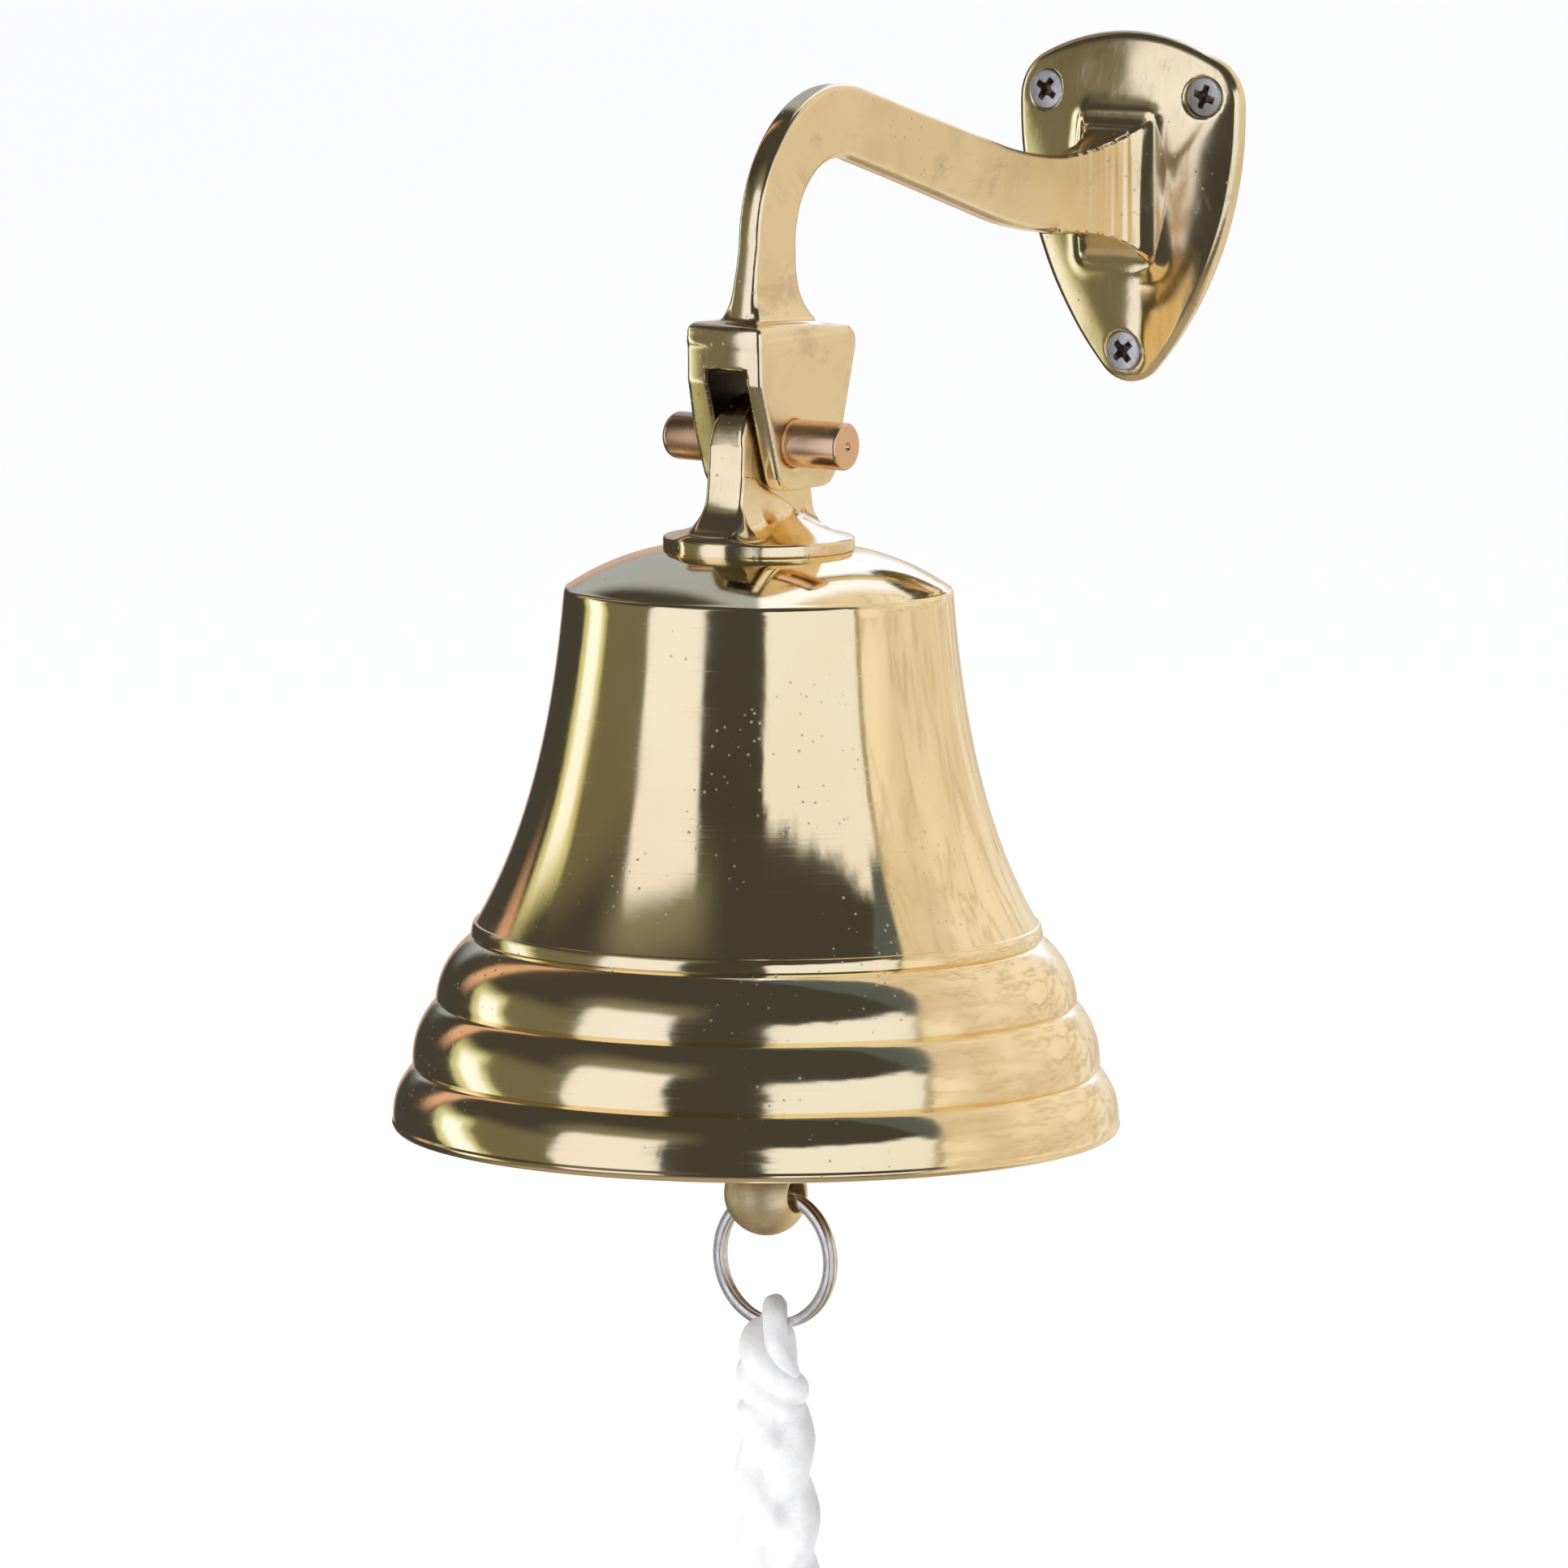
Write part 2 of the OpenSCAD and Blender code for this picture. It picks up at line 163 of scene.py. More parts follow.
GRIME, SPECK = (0.42, 0.32, 0.16), (0.80, 0.72, 0.50)


def polished_brass(name, tint, lines, ripple, rough=(0.05, 0.13), smudge=0.0, sides=0.0):
    """Mirror-polished cast brass. lines stretches the fine polishing marks, and ripple is the depth of the
    casting's waves. smudge is the amount of grime, and sides makes the faces toward +X and -X less glossy."""
    s = Shade(name, tint, 1.0, rough[0])
    tone = s.span(s.noise(22, 4), 0.35, 0.7)
    warm = s.mix(tone, tint, (tint[0] * 0.985, tint[1] * 0.93, tint[2] * 0.86))
    if smudge:
        grime = s.span(s.noise(1.0, 5, 0.7, s.stretched(260, 55, 130), 0.6), 0.52, 0.78, 0.0, smudge * 2.5)
        cloud = s.span(s.noise(75, 3), 0.45, 0.75, 0.0, smudge)
        warm = s.mix(s.math("MAXIMUM", grime, cloud), warm, GRIME)
    specks = s.span(s.cells(560), 0.07, 0.2, 1.0, 0.0)
    patchy = s.span(s.noise(42, 3), 0.5, 0.62)
    speck = s.math("MULTIPLY", specks, patchy)
    s.set(s.bsdf, Base_Color=s.mix(speck, warm, SPECK))
    marks = s.noise(1.0, 2, 0.6, s.stretched(*lines))
    hazy = s.span(s.noise(48, 5, 0.6), 0.3, 0.75, rough[0], rough[1])
    streak = s.span(marks, 0.55, 0.75, 0.0, 0.07)
    if sides:
        split = s.node("SeparateXYZ", Vector=s.node("NewGeometry").outputs["Normal"])
        flat = s.span(s.math("ABSOLUTE", split.outputs["X"]), 0.8, 0.97, 0.0, sides)
        hazy = s.math("ADD", hazy, flat)
    s.set(s.bsdf, Roughness=s.math("ADD", s.math("ADD", hazy, streak), s.math("MULTIPLY", speck, 0.5)))
    waves = s.noise(70, 2, 0.5, distortion=1.2)
    dents = s.span(s.cells(95, "SMOOTH_F1"), 0.0, 0.7)
    s.bump((waves, ripple), (dents, ripple * 0.5), (marks, 0.0012), (speck, -0.004))
    return s.mat


def rough_brass(name, tint, rough, grain, dark=(0.16, 0.11, 0.06), lines=(900, 900, 900), turned=0.0):
    """Unpolished or ground brass, with scratches, stains and grime."""
    s = Shade(name, tint, 1.0, rough)
    stain = s.span(s.noise(60, 5, 0.65), 0.42, 0.72)
    s.set(s.bsdf, Base_Color=s.mix(stain, tint, tuple(0.55 * t + 0.45 * d for t, d in zip(tint, dark))))
    scratch = s.noise(1.0, 3, 0.6, s.stretched(*lines, turned))
    s.set(s.bsdf, Roughness=s.math("ADD", s.span(scratch, 0.3, 0.7, rough - 0.08, rough + 0.08),
                                   s.math("MULTIPLY", stain, 0.12)))
    s.bump((scratch, grain), (s.noise(260, 3), grain * 0.8))
    return s.mat


BRASS = (0.93, 0.775, 0.475)
brass_bell = polished_brass("polished_brass_bell", BRASS, (60, 60, 2600), 0.02)
brass_beads = polished_brass("polished_brass_beads", BRASS, (60, 60, 2600), 0.05, (0.07, 0.15))
brass_cast = polished_brass("polished_brass_cast", (0.93, 0.775, 0.485), (900, 70, 200), 0.04, (0.10, 0.21),
                            smudge=0.2, sides=0.2)
brass_inside = rough_brass("turned_brass_inside", (0.62, 0.49, 0.27), 0.38, 0.02, lines=(30, 30, 1500))
brass_plain = rough_brass("plain_brass", (0.70, 0.56, 0.31), 0.3, 0.01)
brass_satin = rough_brass("satin_brass", (0.98, 0.80, 0.47), 0.5, 0.03, lines=(300, 300, 1900), turned=0.6)
copper = polished_brass("polished_copper", (0.82, 0.54, 0.34), (700, 300, 300), 0.04, (0.17, 0.3))
zinc = rough_brass("zinc_plate", (0.66, 0.63, 0.60), 0.33, 0.01, (0.18, 0.13, 0.10))
steel = rough_brass("nickel_wire", (0.84, 0.79, 0.73), 0.27, 0.004, (0.5, 0.46, 0.4))


# painted shade: a near-black, grainy brown for the screws' cross recesses, standing in for the shade that
# falls inside them
def painted_recess_shade():
    s = Shade("recess_painted_shade", (0.045, 0.03, 0.022), 0.2, 0.6)
    grains = s.span(s.noise(900, 3), 0.4, 0.65)
    s.set(s.bsdf, Base_Color=s.mix(grains, (0.03, 0.02, 0.015), (0.13, 0.09, 0.065)))
    s.bump((s.noise(2500, 3), 0.05))
    return s.mat


def cotton_cloth():
    s = Shade("white_cotton", (0.9, 0.9, 0.895), 0.0, 0.92, Sheen_Weight=0.35, Sheen_Roughness=0.5)
    shade = s.span(s.noise(330, 4, 0.6), 0.3, 0.75)
    s.set(s.bsdf, Base_Color=s.mix(shade, (0.90, 0.90, 0.895), (0.80, 0.81, 0.81)))
    s.set(s.bsdf, Roughness=s.span(s.noise(900, 2), 0.3, 0.7, 0.85, 0.98))
    s.bump((s.noise(1500, 4, 0.7), 0.12), (s.noise(5200, 2), 0.06))
    return s.mat


recess_shade = painted_recess_shade()
cotton = cotton_cloth()


def slot_brass():
    """The fork's sawn slot: painted shade darkens it toward its top, and it is brighter where the tongue
    rubs.
    """
    s = Shade("sawn_slot_brass", (0.3, 0.2, 0.11), 1.0, 0.4)
    height = s.node("SeparateXYZ", Vector=s.place).outputs["Z"]
    # painted shade: from the pin's height to 7 mm above it, the slot fades to a near-black brown
    painted_shade_top = s.span(height, -DROP * MM, (7 - DROP) * MM)
    worn = s.mix(s.span(s.noise(90, 4), 0.4, 0.7), (0.92, 0.72, 0.40), (0.55, 0.38, 0.18))
    s.set(s.bsdf, Base_Color=s.mix(painted_shade_top, worn, (0.14, 0.09, 0.06)))
    s.set(s.bsdf, Roughness=s.span(s.noise(300, 3), 0.3, 0.7, 0.28, 0.5))
    s.bump((s.noise(1.0, 3, 0.6, s.stretched(60, 60, 1800)), 0.02))
    return s.mat


brass_slot = slot_brass()


# ---------- meshes: every point below is in millimetres ----------


def build(name, points, faces, material, body, node=None, slot=None, sharp=None):
    """A piece on a body, which may stand for a CAD node. slot is not used. sharp is an angle."""
    mesh = bpy.data.meshes.new(name)
    mesh.from_pydata((np.asarray(points, float) * MM).tolist(), [], [tuple(f) for f in faces])
    mesh.validate()
    mesh.shade_smooth()
    if sharp is not None:
        mesh.set_sharp_from_angle(angle=math.radians(sharp))
    for m in material if isinstance(material, (list, tuple)) else [material]:
        mesh.materials.append(m)
    obj = bpy.data.objects.new(name, mesh)
    bpy.context.scene.collection.objects.link(obj)
    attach(obj, body)
    if node:
        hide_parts(node)
    return obj


def joined(*parts):
    """Several (points, faces) as one."""
    points, faces, base = [], [], 0
    for p, f in parts:
        points.append(np.asarray(p, float))
        faces += [[i + base for i in face] for face in f]
        base += len(p)
    return np.concatenate(points), faces


def lathe(profile, n, closed=False):
    """A surface of revolution about Z. The profile's (radius, height) rows run down the outside."""
    points, faces, rings = [], [], []
    turn = np.linspace(0, 2 * math.pi, n, endpoint=False)
    for r, h in profile:
        if r < 1e-6:
            rings.append([len(points)] * n)
            points.append((0, 0, h))
        else:
            rings.append(list(range(len(points), len(points) + n)))
            points += [(r * math.cos(t), r * math.sin(t), h) for t in turn]
    for a, b in zip(rings, rings[1:] + ([rings[0]] if closed else [])):
        for j in range(n):
            k = (j + 1) % n
            face = list(dict.fromkeys([a[j], b[j], b[k], a[k]]))
            if len(face) > 2:
                faces.append(face)
    return np.array(points), faces


def sweep(path, section, u=(1, 0, 0)):
    """A closed tube along path. section holds each ring's (u, v) offsets, shaped (rings or 1, sides, 2)."""
    p = np.asarray(path, float)
    n, m = len(p), np.shape(section)[-2]
    t = np.gradient(p, axis=0)
    t /= np.linalg.norm(t, axis=1)[:, None]
    us, u = [], np.array(u, float)
    for d in t:
        u = u - (u @ d) * d
        u /= np.linalg.norm(u)
        us.append(u)
    us = np.array(us)
    vs = np.cross(t, us)
    s = np.broadcast_to(section, (n, m, 2))
    rings = p[:, None] + s[..., :1] * us[:, None] + s[..., 1:] * vs[:, None]
    points = np.concatenate([rings.reshape(-1, 3), p[:1], p[-1:]])
    faces = [
        [i * m + j, i * m + (j + 1) % m, (i + 1) * m + (j + 1) % m, (i + 1) * m + j]
        for i in range(n - 1)
        for j in range(m)
    ]
    faces += [[n * m, (j + 1) % m, j] for j in range(m)]
    faces += [[n * m + 1, (n - 1) * m + j, (n - 1) * m + (j + 1) % m] for j in range(m)]
    return points, faces


def even(path, step):
    """The path again on a smooth curve through its points, one point each step."""
    p = np.asarray(path, float)
    q = np.concatenate([[2 * p[0] - p[1]], p, [2 * p[-1] - p[-2]]])
    out = []
    for a, b, c, d in zip(q, q[1:], q[2:], q[3:]):
        for t in np.linspace(0, 1, 12, endpoint=False):
            out.append(0.5 * (2 * b + (c - a) * t + (2 * a - 5 * b + 4 * c - d) * t * t
                              + (3 * b - a - 3 * c + d) * t**3))
    out = np.array(out + [p[-1]])
    along = np.concatenate([[0], np.cumsum(np.linalg.norm(np.diff(out, axis=0), axis=1))])
    at = np.linspace(0, along[-1], max(3, int(round(along[-1] / step)) + 1))
    return np.stack([np.interp(at, along, out[:, k]) for k in range(3)], axis=1)


# ---------- shapes given by a distance ----------


def rmax(a, b, r):
    """Both, with the edge between them rounded to radius r."""
    return np.minimum(-r, np.maximum(a, b)) + np.hypot(np.maximum(r + a, 0), np.maximum(r + b, 0))


def rmin(a, b, r):
    """Either, with a fillet of radius r between them."""
    return np.maximum(r, np.minimum(a, b)) - np.hypot(np.maximum(r - a, 0), np.maximum(r - b, 0))


def to_arc(d, h, c, r, a0, a1):
    """Distance in a plane to the arc about c, from a0 to a1 degrees."""
    a = np.degrees(np.arctan2(h - c[1], d - c[0]))
    middle = (a0 + a1) / 2
    a = np.radians(np.clip((a - middle + 180) % 360 - 180, a0 - middle, a1 - middle) + middle)
    return np.hypot(d - c[0] - r * np.cos(a), h - c[1] - r * np.sin(a))


def to_line(d, h, a, b):
    """Distance in a plane to the line from a to b."""
    (ax, ay), (bx, by) = a, b
    t = np.clip(((d - ax) * (bx - ax) + (h - ay) * (by - ay)) / ((bx - ax) ** 2 + (by - ay) ** 2), 0, 1)
    return np.hypot(d - ax - t * (bx - ax), h - ay - t * (by - ay))


def in_polygon(d, h, corners):
    """Signed distance to a polygon."""
    best, sign = np.full(d.shape, 1e9), np.ones(d.shape)
    for (ax, ay), (bx, by) in zip(corners, corners[1:] + corners[:1]):
        best = np.minimum(best, to_line(d, h, (ax, ay), (bx, by)))
        crossing = (ay > h) != (by > h)
        if by != ay:
            sign = np.where(crossing & (d < ax + (h - ay) / (by - ay) * (bx - ax)), -sign, sign)
    return sign * best


BLOCK = 8  # grid steps along each side of a block


def sampled(f, lo, count, h):
    """f on a grid of step h: at each point of the blocks near the surface, once for any other block."""
    blocks = np.stack(np.meshgrid(*(np.arange(c) for c in count), indexing="ij"), -1).reshape(-1, 3)
    rough = f(lo + (blocks + 0.5) * BLOCK * h)
    v = rough.reshape(count).astype(np.float32)
    for axis in range(3):
        v = np.repeat(v, BLOCK, axis)
    by_block = v.reshape(count[0], BLOCK, count[1], BLOCK, count[2], BLOCK)
    near = blocks[np.abs(rough) < BLOCK * h * 1.5]
    inner = np.stack(np.meshgrid(*(np.arange(BLOCK),) * 3, indexing="ij"), -1)
    for i in range(0, len(near), 400):
        some = near[i : i + 400]
        p = lo + (some[:, None, None, None] * BLOCK + inner) * h
        values = f(p.reshape(-1, 3)).reshape(-1, BLOCK, BLOCK, BLOCK)
        for (x, y, z), value in zip(some, values):
            by_block[x, :, y, :, z, :] = value
    return v


def net(v):
    """Surface nets: a point in each grid cell that the surface crosses, and the faces between them."""
    neg = v < 0
    corners = [(a, b, c) for a in (0, 1) for b in (0, 1) for c in (0, 1)]
    shifted = [neg[tuple(slice(i, n - 1 + i) for i, n in zip(o, neg.shape))] for o in corners]
    inside = sum(part.astype(np.int8) for part in shifted)
    active = (inside > 0) & (inside < 8)
    cells = np.argwhere(active)
    number = np.full(active.shape, -1, np.int64)
    number[active] = np.arange(len(cells))
    at = [v[tuple((cells + o).T)].astype(float) for o in corners]
    total, hits = np.zeros((len(cells), 3)), np.zeros(len(cells))
    for i, a in enumerate(corners):
        for j, b in enumerate(corners):
            if j > i and sum(x != y for x, y in zip(a, b)) == 1:
                cross = (at[i] < 0) != (at[j] < 0)
                t = np.where(cross, at[i] / np.where(cross, at[i] - at[j], 1), 0)
                total += cross[:, None] * (np.array(a) + t[:, None] * (np.array(b) - a))
                hits += cross
    faces = []
    for k in range(3):
        low, high = [slice(1, -1)] * 3, [slice(1, -1)] * 3
        low[k], high[k] = slice(0, -1), slice(1, None)
        here, there = neg[tuple(low)], neg[tuple(high)]
        for flip in (False, True):
            e = np.argwhere(there & ~here if flip else here & ~there)
            e += np.array([0 if i == k else 1 for i in range(3)])
            o1, o2 = np.eye(3, dtype=int)[(k + 1) % 3], np.eye(3, dtype=int)[(k + 2) % 3]
            quad = [number[tuple((e - o).T)] for o in (o1 + o2, o2, 0 * o1, o1)]
            faces.append(np.stack(quad[::-1] if flip else quad, 1))
    return cells + total / hits[:, None], np.concatenate(faces)


def relaxed(points, faces):
    """Each point moved half way to the middle of its neighbours."""
    total, hits = np.zeros_like(points), np.zeros(len(points))
    for i, j in ((0, 1), (1, 2), (2, 3), (3, 0)):
        for a, b in ((faces[:, i], faces[:, j]), (faces[:, j], faces[:, i])):
            for c in range(3):
                total[:, c] += np.bincount(a, points[b, c], len(points))
            hits += np.bincount(a, minlength=len(points))
    return 0.5 * points + 0.5 * total / hits[:, None]


def moved_onto(f, points, most):
    """Each point moved toward the surface where f is zero, by most at the most."""
    value, e = f(points), 0.03
    slope = np.stack([f(points + o) - f(points - o) for o in np.eye(3) * e], 1) / (2 * e)
    step = (value / np.maximum((slope**2).sum(1), 0.05))[:, None] * slope
    far = np.maximum(np.linalg.norm(step, axis=1) / most, 1)
    return points - step / far[:, None]


def skin(f, lo, hi, h):
    """The closed surface where f is zero, in the box from lo to hi, as (points, faces) about h apart."""
    lo, hi = np.array(lo, float), np.array(hi, float)
    points, faces = net(sampled(f, lo, np.ceil((hi - lo) / (BLOCK * h)).astype(int), h))
    points = lo + points * h
    for step in range(5):
        if step < 2:
            points = relaxed(points, faces)
        points = moved_onto(f, points, 0.5 * h)
    return points, faces.tolist()


def bezier(p, n):
    """The n + 1 points of a cubic curve with four control points."""
    p, t = np.array(p, float), np.linspace(0, 1, n + 1)[:, None]
    u = 1 - t
    return (u**3 * p[0] + 3 * u * u * t * p[1] + 3 * u * t * t * p[2] + t**3 * p[3]).tolist()


def arc(c, r, a0, a1, n):
    """The n + 1 points of an arc about c, from a0 to a1 degrees."""
    return [[c[0] + r * math.cos(math.radians(a)), c[1] + r * math.sin(math.radians(a))]
            for a in np.linspace(a0, a1, n + 1)]


# ---------- wall bracket ----------

# the plate's outline is an arc at its foot, and an arc for the side, the corner and the top on each side
side_c, side_r = (-44.75, 13.4), 68.0
top_c, top_r = (0, -12.4), 40.0
corner_r, foot_r = 9.0, 7.2
foot_c = (0, side_c[1] - math.sqrt((side_r - foot_r) ** 2 - side_c[0] ** 2))
PLATE_MID = -2.0  # the height about which the outline is turned into (angle, distance)


def meet(p, a, q, b):
    """The right-hand crossing of two circles, given by their centres and radii."""
    (dx, dy), across = (q[0] - p[0], q[1] - p[1]), math.dist(p, q)
    k = (across**2 + a * a - b * b) / (2 * across)
    s = math.sqrt(a * a - k * k) * (1 if dy < 0 else -1)
    return p[0] + (k * dx - s * dy) / across, p[1] + (k * dy + s * dx) / across


corner_c = meet(side_c, side_r - corner_r, top_c, top_r - corner_r)
foot_to, side_to, corner_to = (
    math.degrees(math.atan2(b[1] - a[1], b[0] - a[0]))
    for a, b in ((side_c, foot_c), (side_c, corner_c), (top_c, corner_c)))
half = (arc(foot_c, foot_r, -90, foot_to, 24) + arc(side_c, side_r, foot_to, side_to, 40)[1:]
        + arc(corner_c, corner_r, side_to, corner_to, 30)[1:] + arc(top_c, top_r, corner_to, 90, 20)[1:])
outline = np.array(half + [[-x, z] for x, z in half[::-1] if x > 0.01]) - [0, PLATE_MID]
outline_turn = np.arctan2(outline[:, 1], outline[:, 0])
order = np.argsort(outline_turn)
outline_turn, outline_far = outline_turn[order], np.hypot(*outline.T)[order]

# d is the distance from the pin toward the wall, h the height above it
PIN_R = 4.1
ARM_HALF = 2.3
BEND_C, BEND_R = (22.1, 33.6), 19.7
ARM_LINE = [(27.2, 52.6), (72.9, 39.5), (98, 36.2)]
SLOT_HALF, SLOT_TOP = 4.15, 12.8
FORK = [(-8.8, 18.8), (-8.4, 11), (-2.72, -5.08), (-2.2, -5.75), (-1.4, -6), (9.6, -6), (10.5, -5.75),
        (11.1, -5.08), (17.0, 15.4), (17.0, 16.3), (16.3, 16.9)]
HEAD_Y = -3.55  # the face of the screws' heads
SCREWS = [(-16.5, 16.7, 35), (16.5, 16.7, 20), (0, -29.3, 50)]  # x, z and how far each is turned


def swell(t):
    """A quarter ellipse's rise at t, level at 0 and nearly upright at 1, and its slope."""
    return 1 - np.sqrt(1 - 0.985 * t * t), t / np.sqrt(1 - 0.975 * t * t)


def swan_neck(x, d, h):
    """The flat arm, from its stem over the bend to the plate, with its inner edge the rounder one."""
    middle = np.minimum(to_arc(d, h, BEND_C, BEND_R, 75, 180), to_line(d, h, (1.2, 18), (2.4, 33.6)))
    middle = np.minimum(middle, to_line(d, h, ARM_LINE[0], ARM_LINE[1]))
    middle = np.minimum(middle, to_arc(d, h, (98, 133.2), 97, -105, -90))
    middle = np.minimum(middle, to_line(d, h, ARM_LINE[2], (118, 36.2)))
    depth = 6.4 + 0.55 * np.clip((d - 40) / 55, 0, 1) + 0.1 * np.clip(33.6 - h, 0, 14) * (d < 30)
    under = np.where(d > ARM_LINE[0][0], h < np.interp(d, *zip(*ARM_LINE)),
                     np.hypot(d - BEND_C[0], h - BEND_C[1]) < BEND_R)
    crowned = middle - depth - 0.015 * x + 0.05 * x * x
    return rmax(crowned, np.abs(x) - ARM_HALF, np.where(under, 1.8, 0.8))


def neck(x, d, h):
    """The stem's end, which widens onto the fork, more on the left."""
    k, slope = swell(np.clip((29.5 - h) / 11.5, 0, 1))
    sides = np.abs(x) - ARM_HALF - (4.7 + (x < 0) * 1.1) * k
    ends = np.maximum(-4.7 - 4.7 * k - d, d - 8.8 - 8.3 * k)
    inset = 0.22 * np.maximum(h - 27, 0)
    shape = (rmax(sides, ends, np.where(d > 2, 1.8, 0.9)) + inset) / np.hypot(1, 0.42 * slope)
    return np.maximum(shape, np.maximum(h - 33, 17.5 - h))


def fork_block(x, d, h):
    """The fork without its slot and bore. Its left cheek is fuller, most of all beside the pin."""
    bulge = np.clip((4 - d) / 8, 0, 1) * (0.07 * x - 0.014 * x * x)
    cheek = np.where(x > 0, x - 7.5, -x - 9.3 - 1.1 * np.exp(-(((h - 1) / 7) ** 2)))
    fork = rmax(in_polygon(d + bulge, h, FORK) - 2.2, cheek, 1.2)
    return rmax(fork, rmax(h - 20.6, cheek, 2.0), 0.6)


def flare(x, y, z):
    """The arm's foot, which widens onto the plate, with the ridges that its filing left."""
    t = np.clip((y + 27) / 20.8, 0, 1)
    k, slope = swell(t)
    ridge = 0.19 * t * (np.sin(1.75 * y + 1.2 * np.sin(0.6 * y) + 0.06 * z) + 0.4 * np.sin(4.3 * y))
    shape = rmax(np.abs(x) - ARM_HALF - 5.7 * k - ridge, np.abs(z - 0.1) - 6.95 - 6.8 * k, 0.8)
    return np.maximum(shape / np.hypot(1, 0.327 * slope), np.maximum(-28 - y, y + 2))


def domed_plate(x, y, z):
    """The pear-shaped plate. s runs from 0 at the top of its dome to 1 at its outline."""
    up = z - PLATE_MID
    s = np.hypot(x, up) / 28
    for _ in range(3):
        px = x - (5 + 0.05 * z) * np.clip(1 - s, 0, 1)
        far = np.interp(np.arctan2(up, px), outline_turn, outline_far, period=2 * math.pi)
        s = np.hypot(px, up) / far
    dome = 2.2 + 4.2 * (1 - np.minimum(s, 1.1) ** 2.2) + 0.05 * np.sin(0.45 * x + 1) * np.sin(0.37 * z)
    steep = 8.5 * np.minimum(s, 1.1) ** 1.5 / far
    plate = rmax((-y - dome) / np.sqrt(1 + steep**2), (s - 1) * far * 0.95, 1.5)
    return rmax(plate, y, 0.4)


def bracket(p):
    """The whole casting, with the pin's bore and the three countersinks."""
    x, y, z = p.T
    d, h = y + REACH, z + DROP
    shape = rmin(rmin(swan_neck(x, d, h), neck(x, d, h), 0.7), fork_block(x, d, h), 1.2)
    slot = rmax(np.abs(x) - SLOT_HALF, h - SLOT_TOP, 1.2)
    shape = rmax(shape, -np.maximum(slot, d - 40), 0.55)
    shape = rmax(shape, PIN_R - np.hypot(d, h), 0.35)
    shape = np.maximum(np.minimum(shape, flare(x, y, z)), y + 2.1)
    shape = rmin(domed_plate(x, y, z), shape, 2.0)
    for sx, sz, _ in SCREWS:
        hole = np.hypot(x - sx, z - sz) - np.interp(y, [-3.3, -1.0], [3.6, 1.9])
        shape = rmax(shape, -hole * 0.8, 0.45)
    return shape


points, faces = skin(bracket, (-25, -138.5, -46), (25, 2, 31), 0.42)
casting = build("bracket_casting", points, faces, [brass_cast, brass_slot], "bracket", "wall_bracket",
                "polished_brass")
# the slot's faces take the slot material, with painted shade toward its top
for poly in casting.data.polygons:
    c = poly.center / MM
    if abs(c.x) < SLOT_HALF + 0.35 and -10 < c.z + DROP < SLOT_TOP + 0.3 and abs(c.y + REACH - 2) < 19.5:
        poly.material_index = 1


# ---------- screws and pin ----------


# how far behind the face of the head, and the radius there: head, shank, thread's root and point
SCREW_LINE = [(0.35, 3.5), (2.6, 1.72), (4.4, 1.6), (5.0, 1.22), (9.2, 1.22), (11.8, 0.12)]
PITCH = 1.5


def screw(p):
    """A countersunk cross-recess wood screw, the face of its head at w = 0."""
    x, w, z = p.T
    r, round_it = np.hypot(x, z), np.arctan2(z, x) / (2 * math.pi)
    body = r - np.interp(w, *zip(*SCREW_LINE))
    ridge = np.abs((w - PITCH * round_it) % PITCH - PITCH / 2)
    crest = 0.53 * np.clip((w - 4.6) / 0.6, 0, 1) * np.clip((12 - w) / 2.4, 0, 1)
    body = body - crest * np.clip(1 - ridge / 0.42, 0, 1)
    body = rmax(body * 0.75, -w - 0.22 * (1 - np.minimum(r / SCREW_LINE[0][1], 1) ** 2), 0.15)
    half_long, half_wide = 2.15 - 0.55 * w, 0.55 - 0.1 * w
    arms = np.minimum(np.maximum(np.abs(x) - half_long, np.abs(z) - half_wide),
                      np.maximum(np.abs(z) - half_long, np.abs(x) - half_wide))
    arms = np.maximum(rmin(arms, r - 1.0 + 0.25 * w, 0.3), w - 1.7)
    body = rmax(body, -arms * 0.85, 0.1)
    return np.maximum(body, w - 11.9)


points, faces = skin(screw, (-3.9, -0.6, -3.9), (3.9, 12.6, 3.9), 0.16)
all_screws = []
for sx, sz, a in SCREWS:
    c, s = math.cos(math.radians(a)), math.sin(math.radians(a))
    spun = points @ np.array([[c, 0, -s], [0, 1, 0], [s, 0, c]])
    all_screws.append((spun + [sx, HEAD_Y, sz], faces))
points, faces = joined(*all_screws)
screws = build("cross_head_screws", points, faces, [zinc, recess_shade], "bracket", "wall_screws", "zinc_screw")
# the faces inside each cross recess take the painted recess shade
for poly in screws.data.polygons:
    c = poly.center / MM
    sx, sz, _ = min(SCREWS, key=lambda q: math.hypot(c.x - q[0], c.z - q[1]))
    if 0.15 < c.y - HEAD_Y < 1.8 and math.hypot(c.x - sx, c.z - sz) < 2.3 - 0.5 * (c.y - HEAD_Y):
        poly.material_index = 1

# (radius, x) from the end that is drilled with a centre to the rounded one
pin = ([[0, 17.25], [0.35, 17.4], [0.7, 17.85], [0.8, 18.0], [3.3, 18.0]]
       + arc((PIN_R - 0.65, 17.35), 0.65, 80, 0, 5) + [[PIN_R, 12], [PIN_R, 0], [PIN_R, -12]]
       + arc((PIN_R - 1.8, -16.2), 1.8, 0, -90, 10) + [[0, -18.05]])
points, faces = lathe(pin, 72)
points = points[:, [2, 0, 1]] + [0, -REACH, -DROP]
points[:, 1:] += 0.03 * np.sin(points[:, :1] * 0.9 + points[:, 1:] * 0.7)
build("hinge_pin", points, faces, copper, "bracket", "pivot_pin", "copper_pin", sharp=50)


# ---------- bell ----------

SEAT, LIP, LIP_R, WALL = -18.5, -118.5, 62.5, 3.4  # heights from the pin, the mouth's radius, the thickness
STUD_R, STUD_PITCH, CROSS_HOLE = 4.0, 1.25, -36.5
SWING_ENDS = (28, -60)
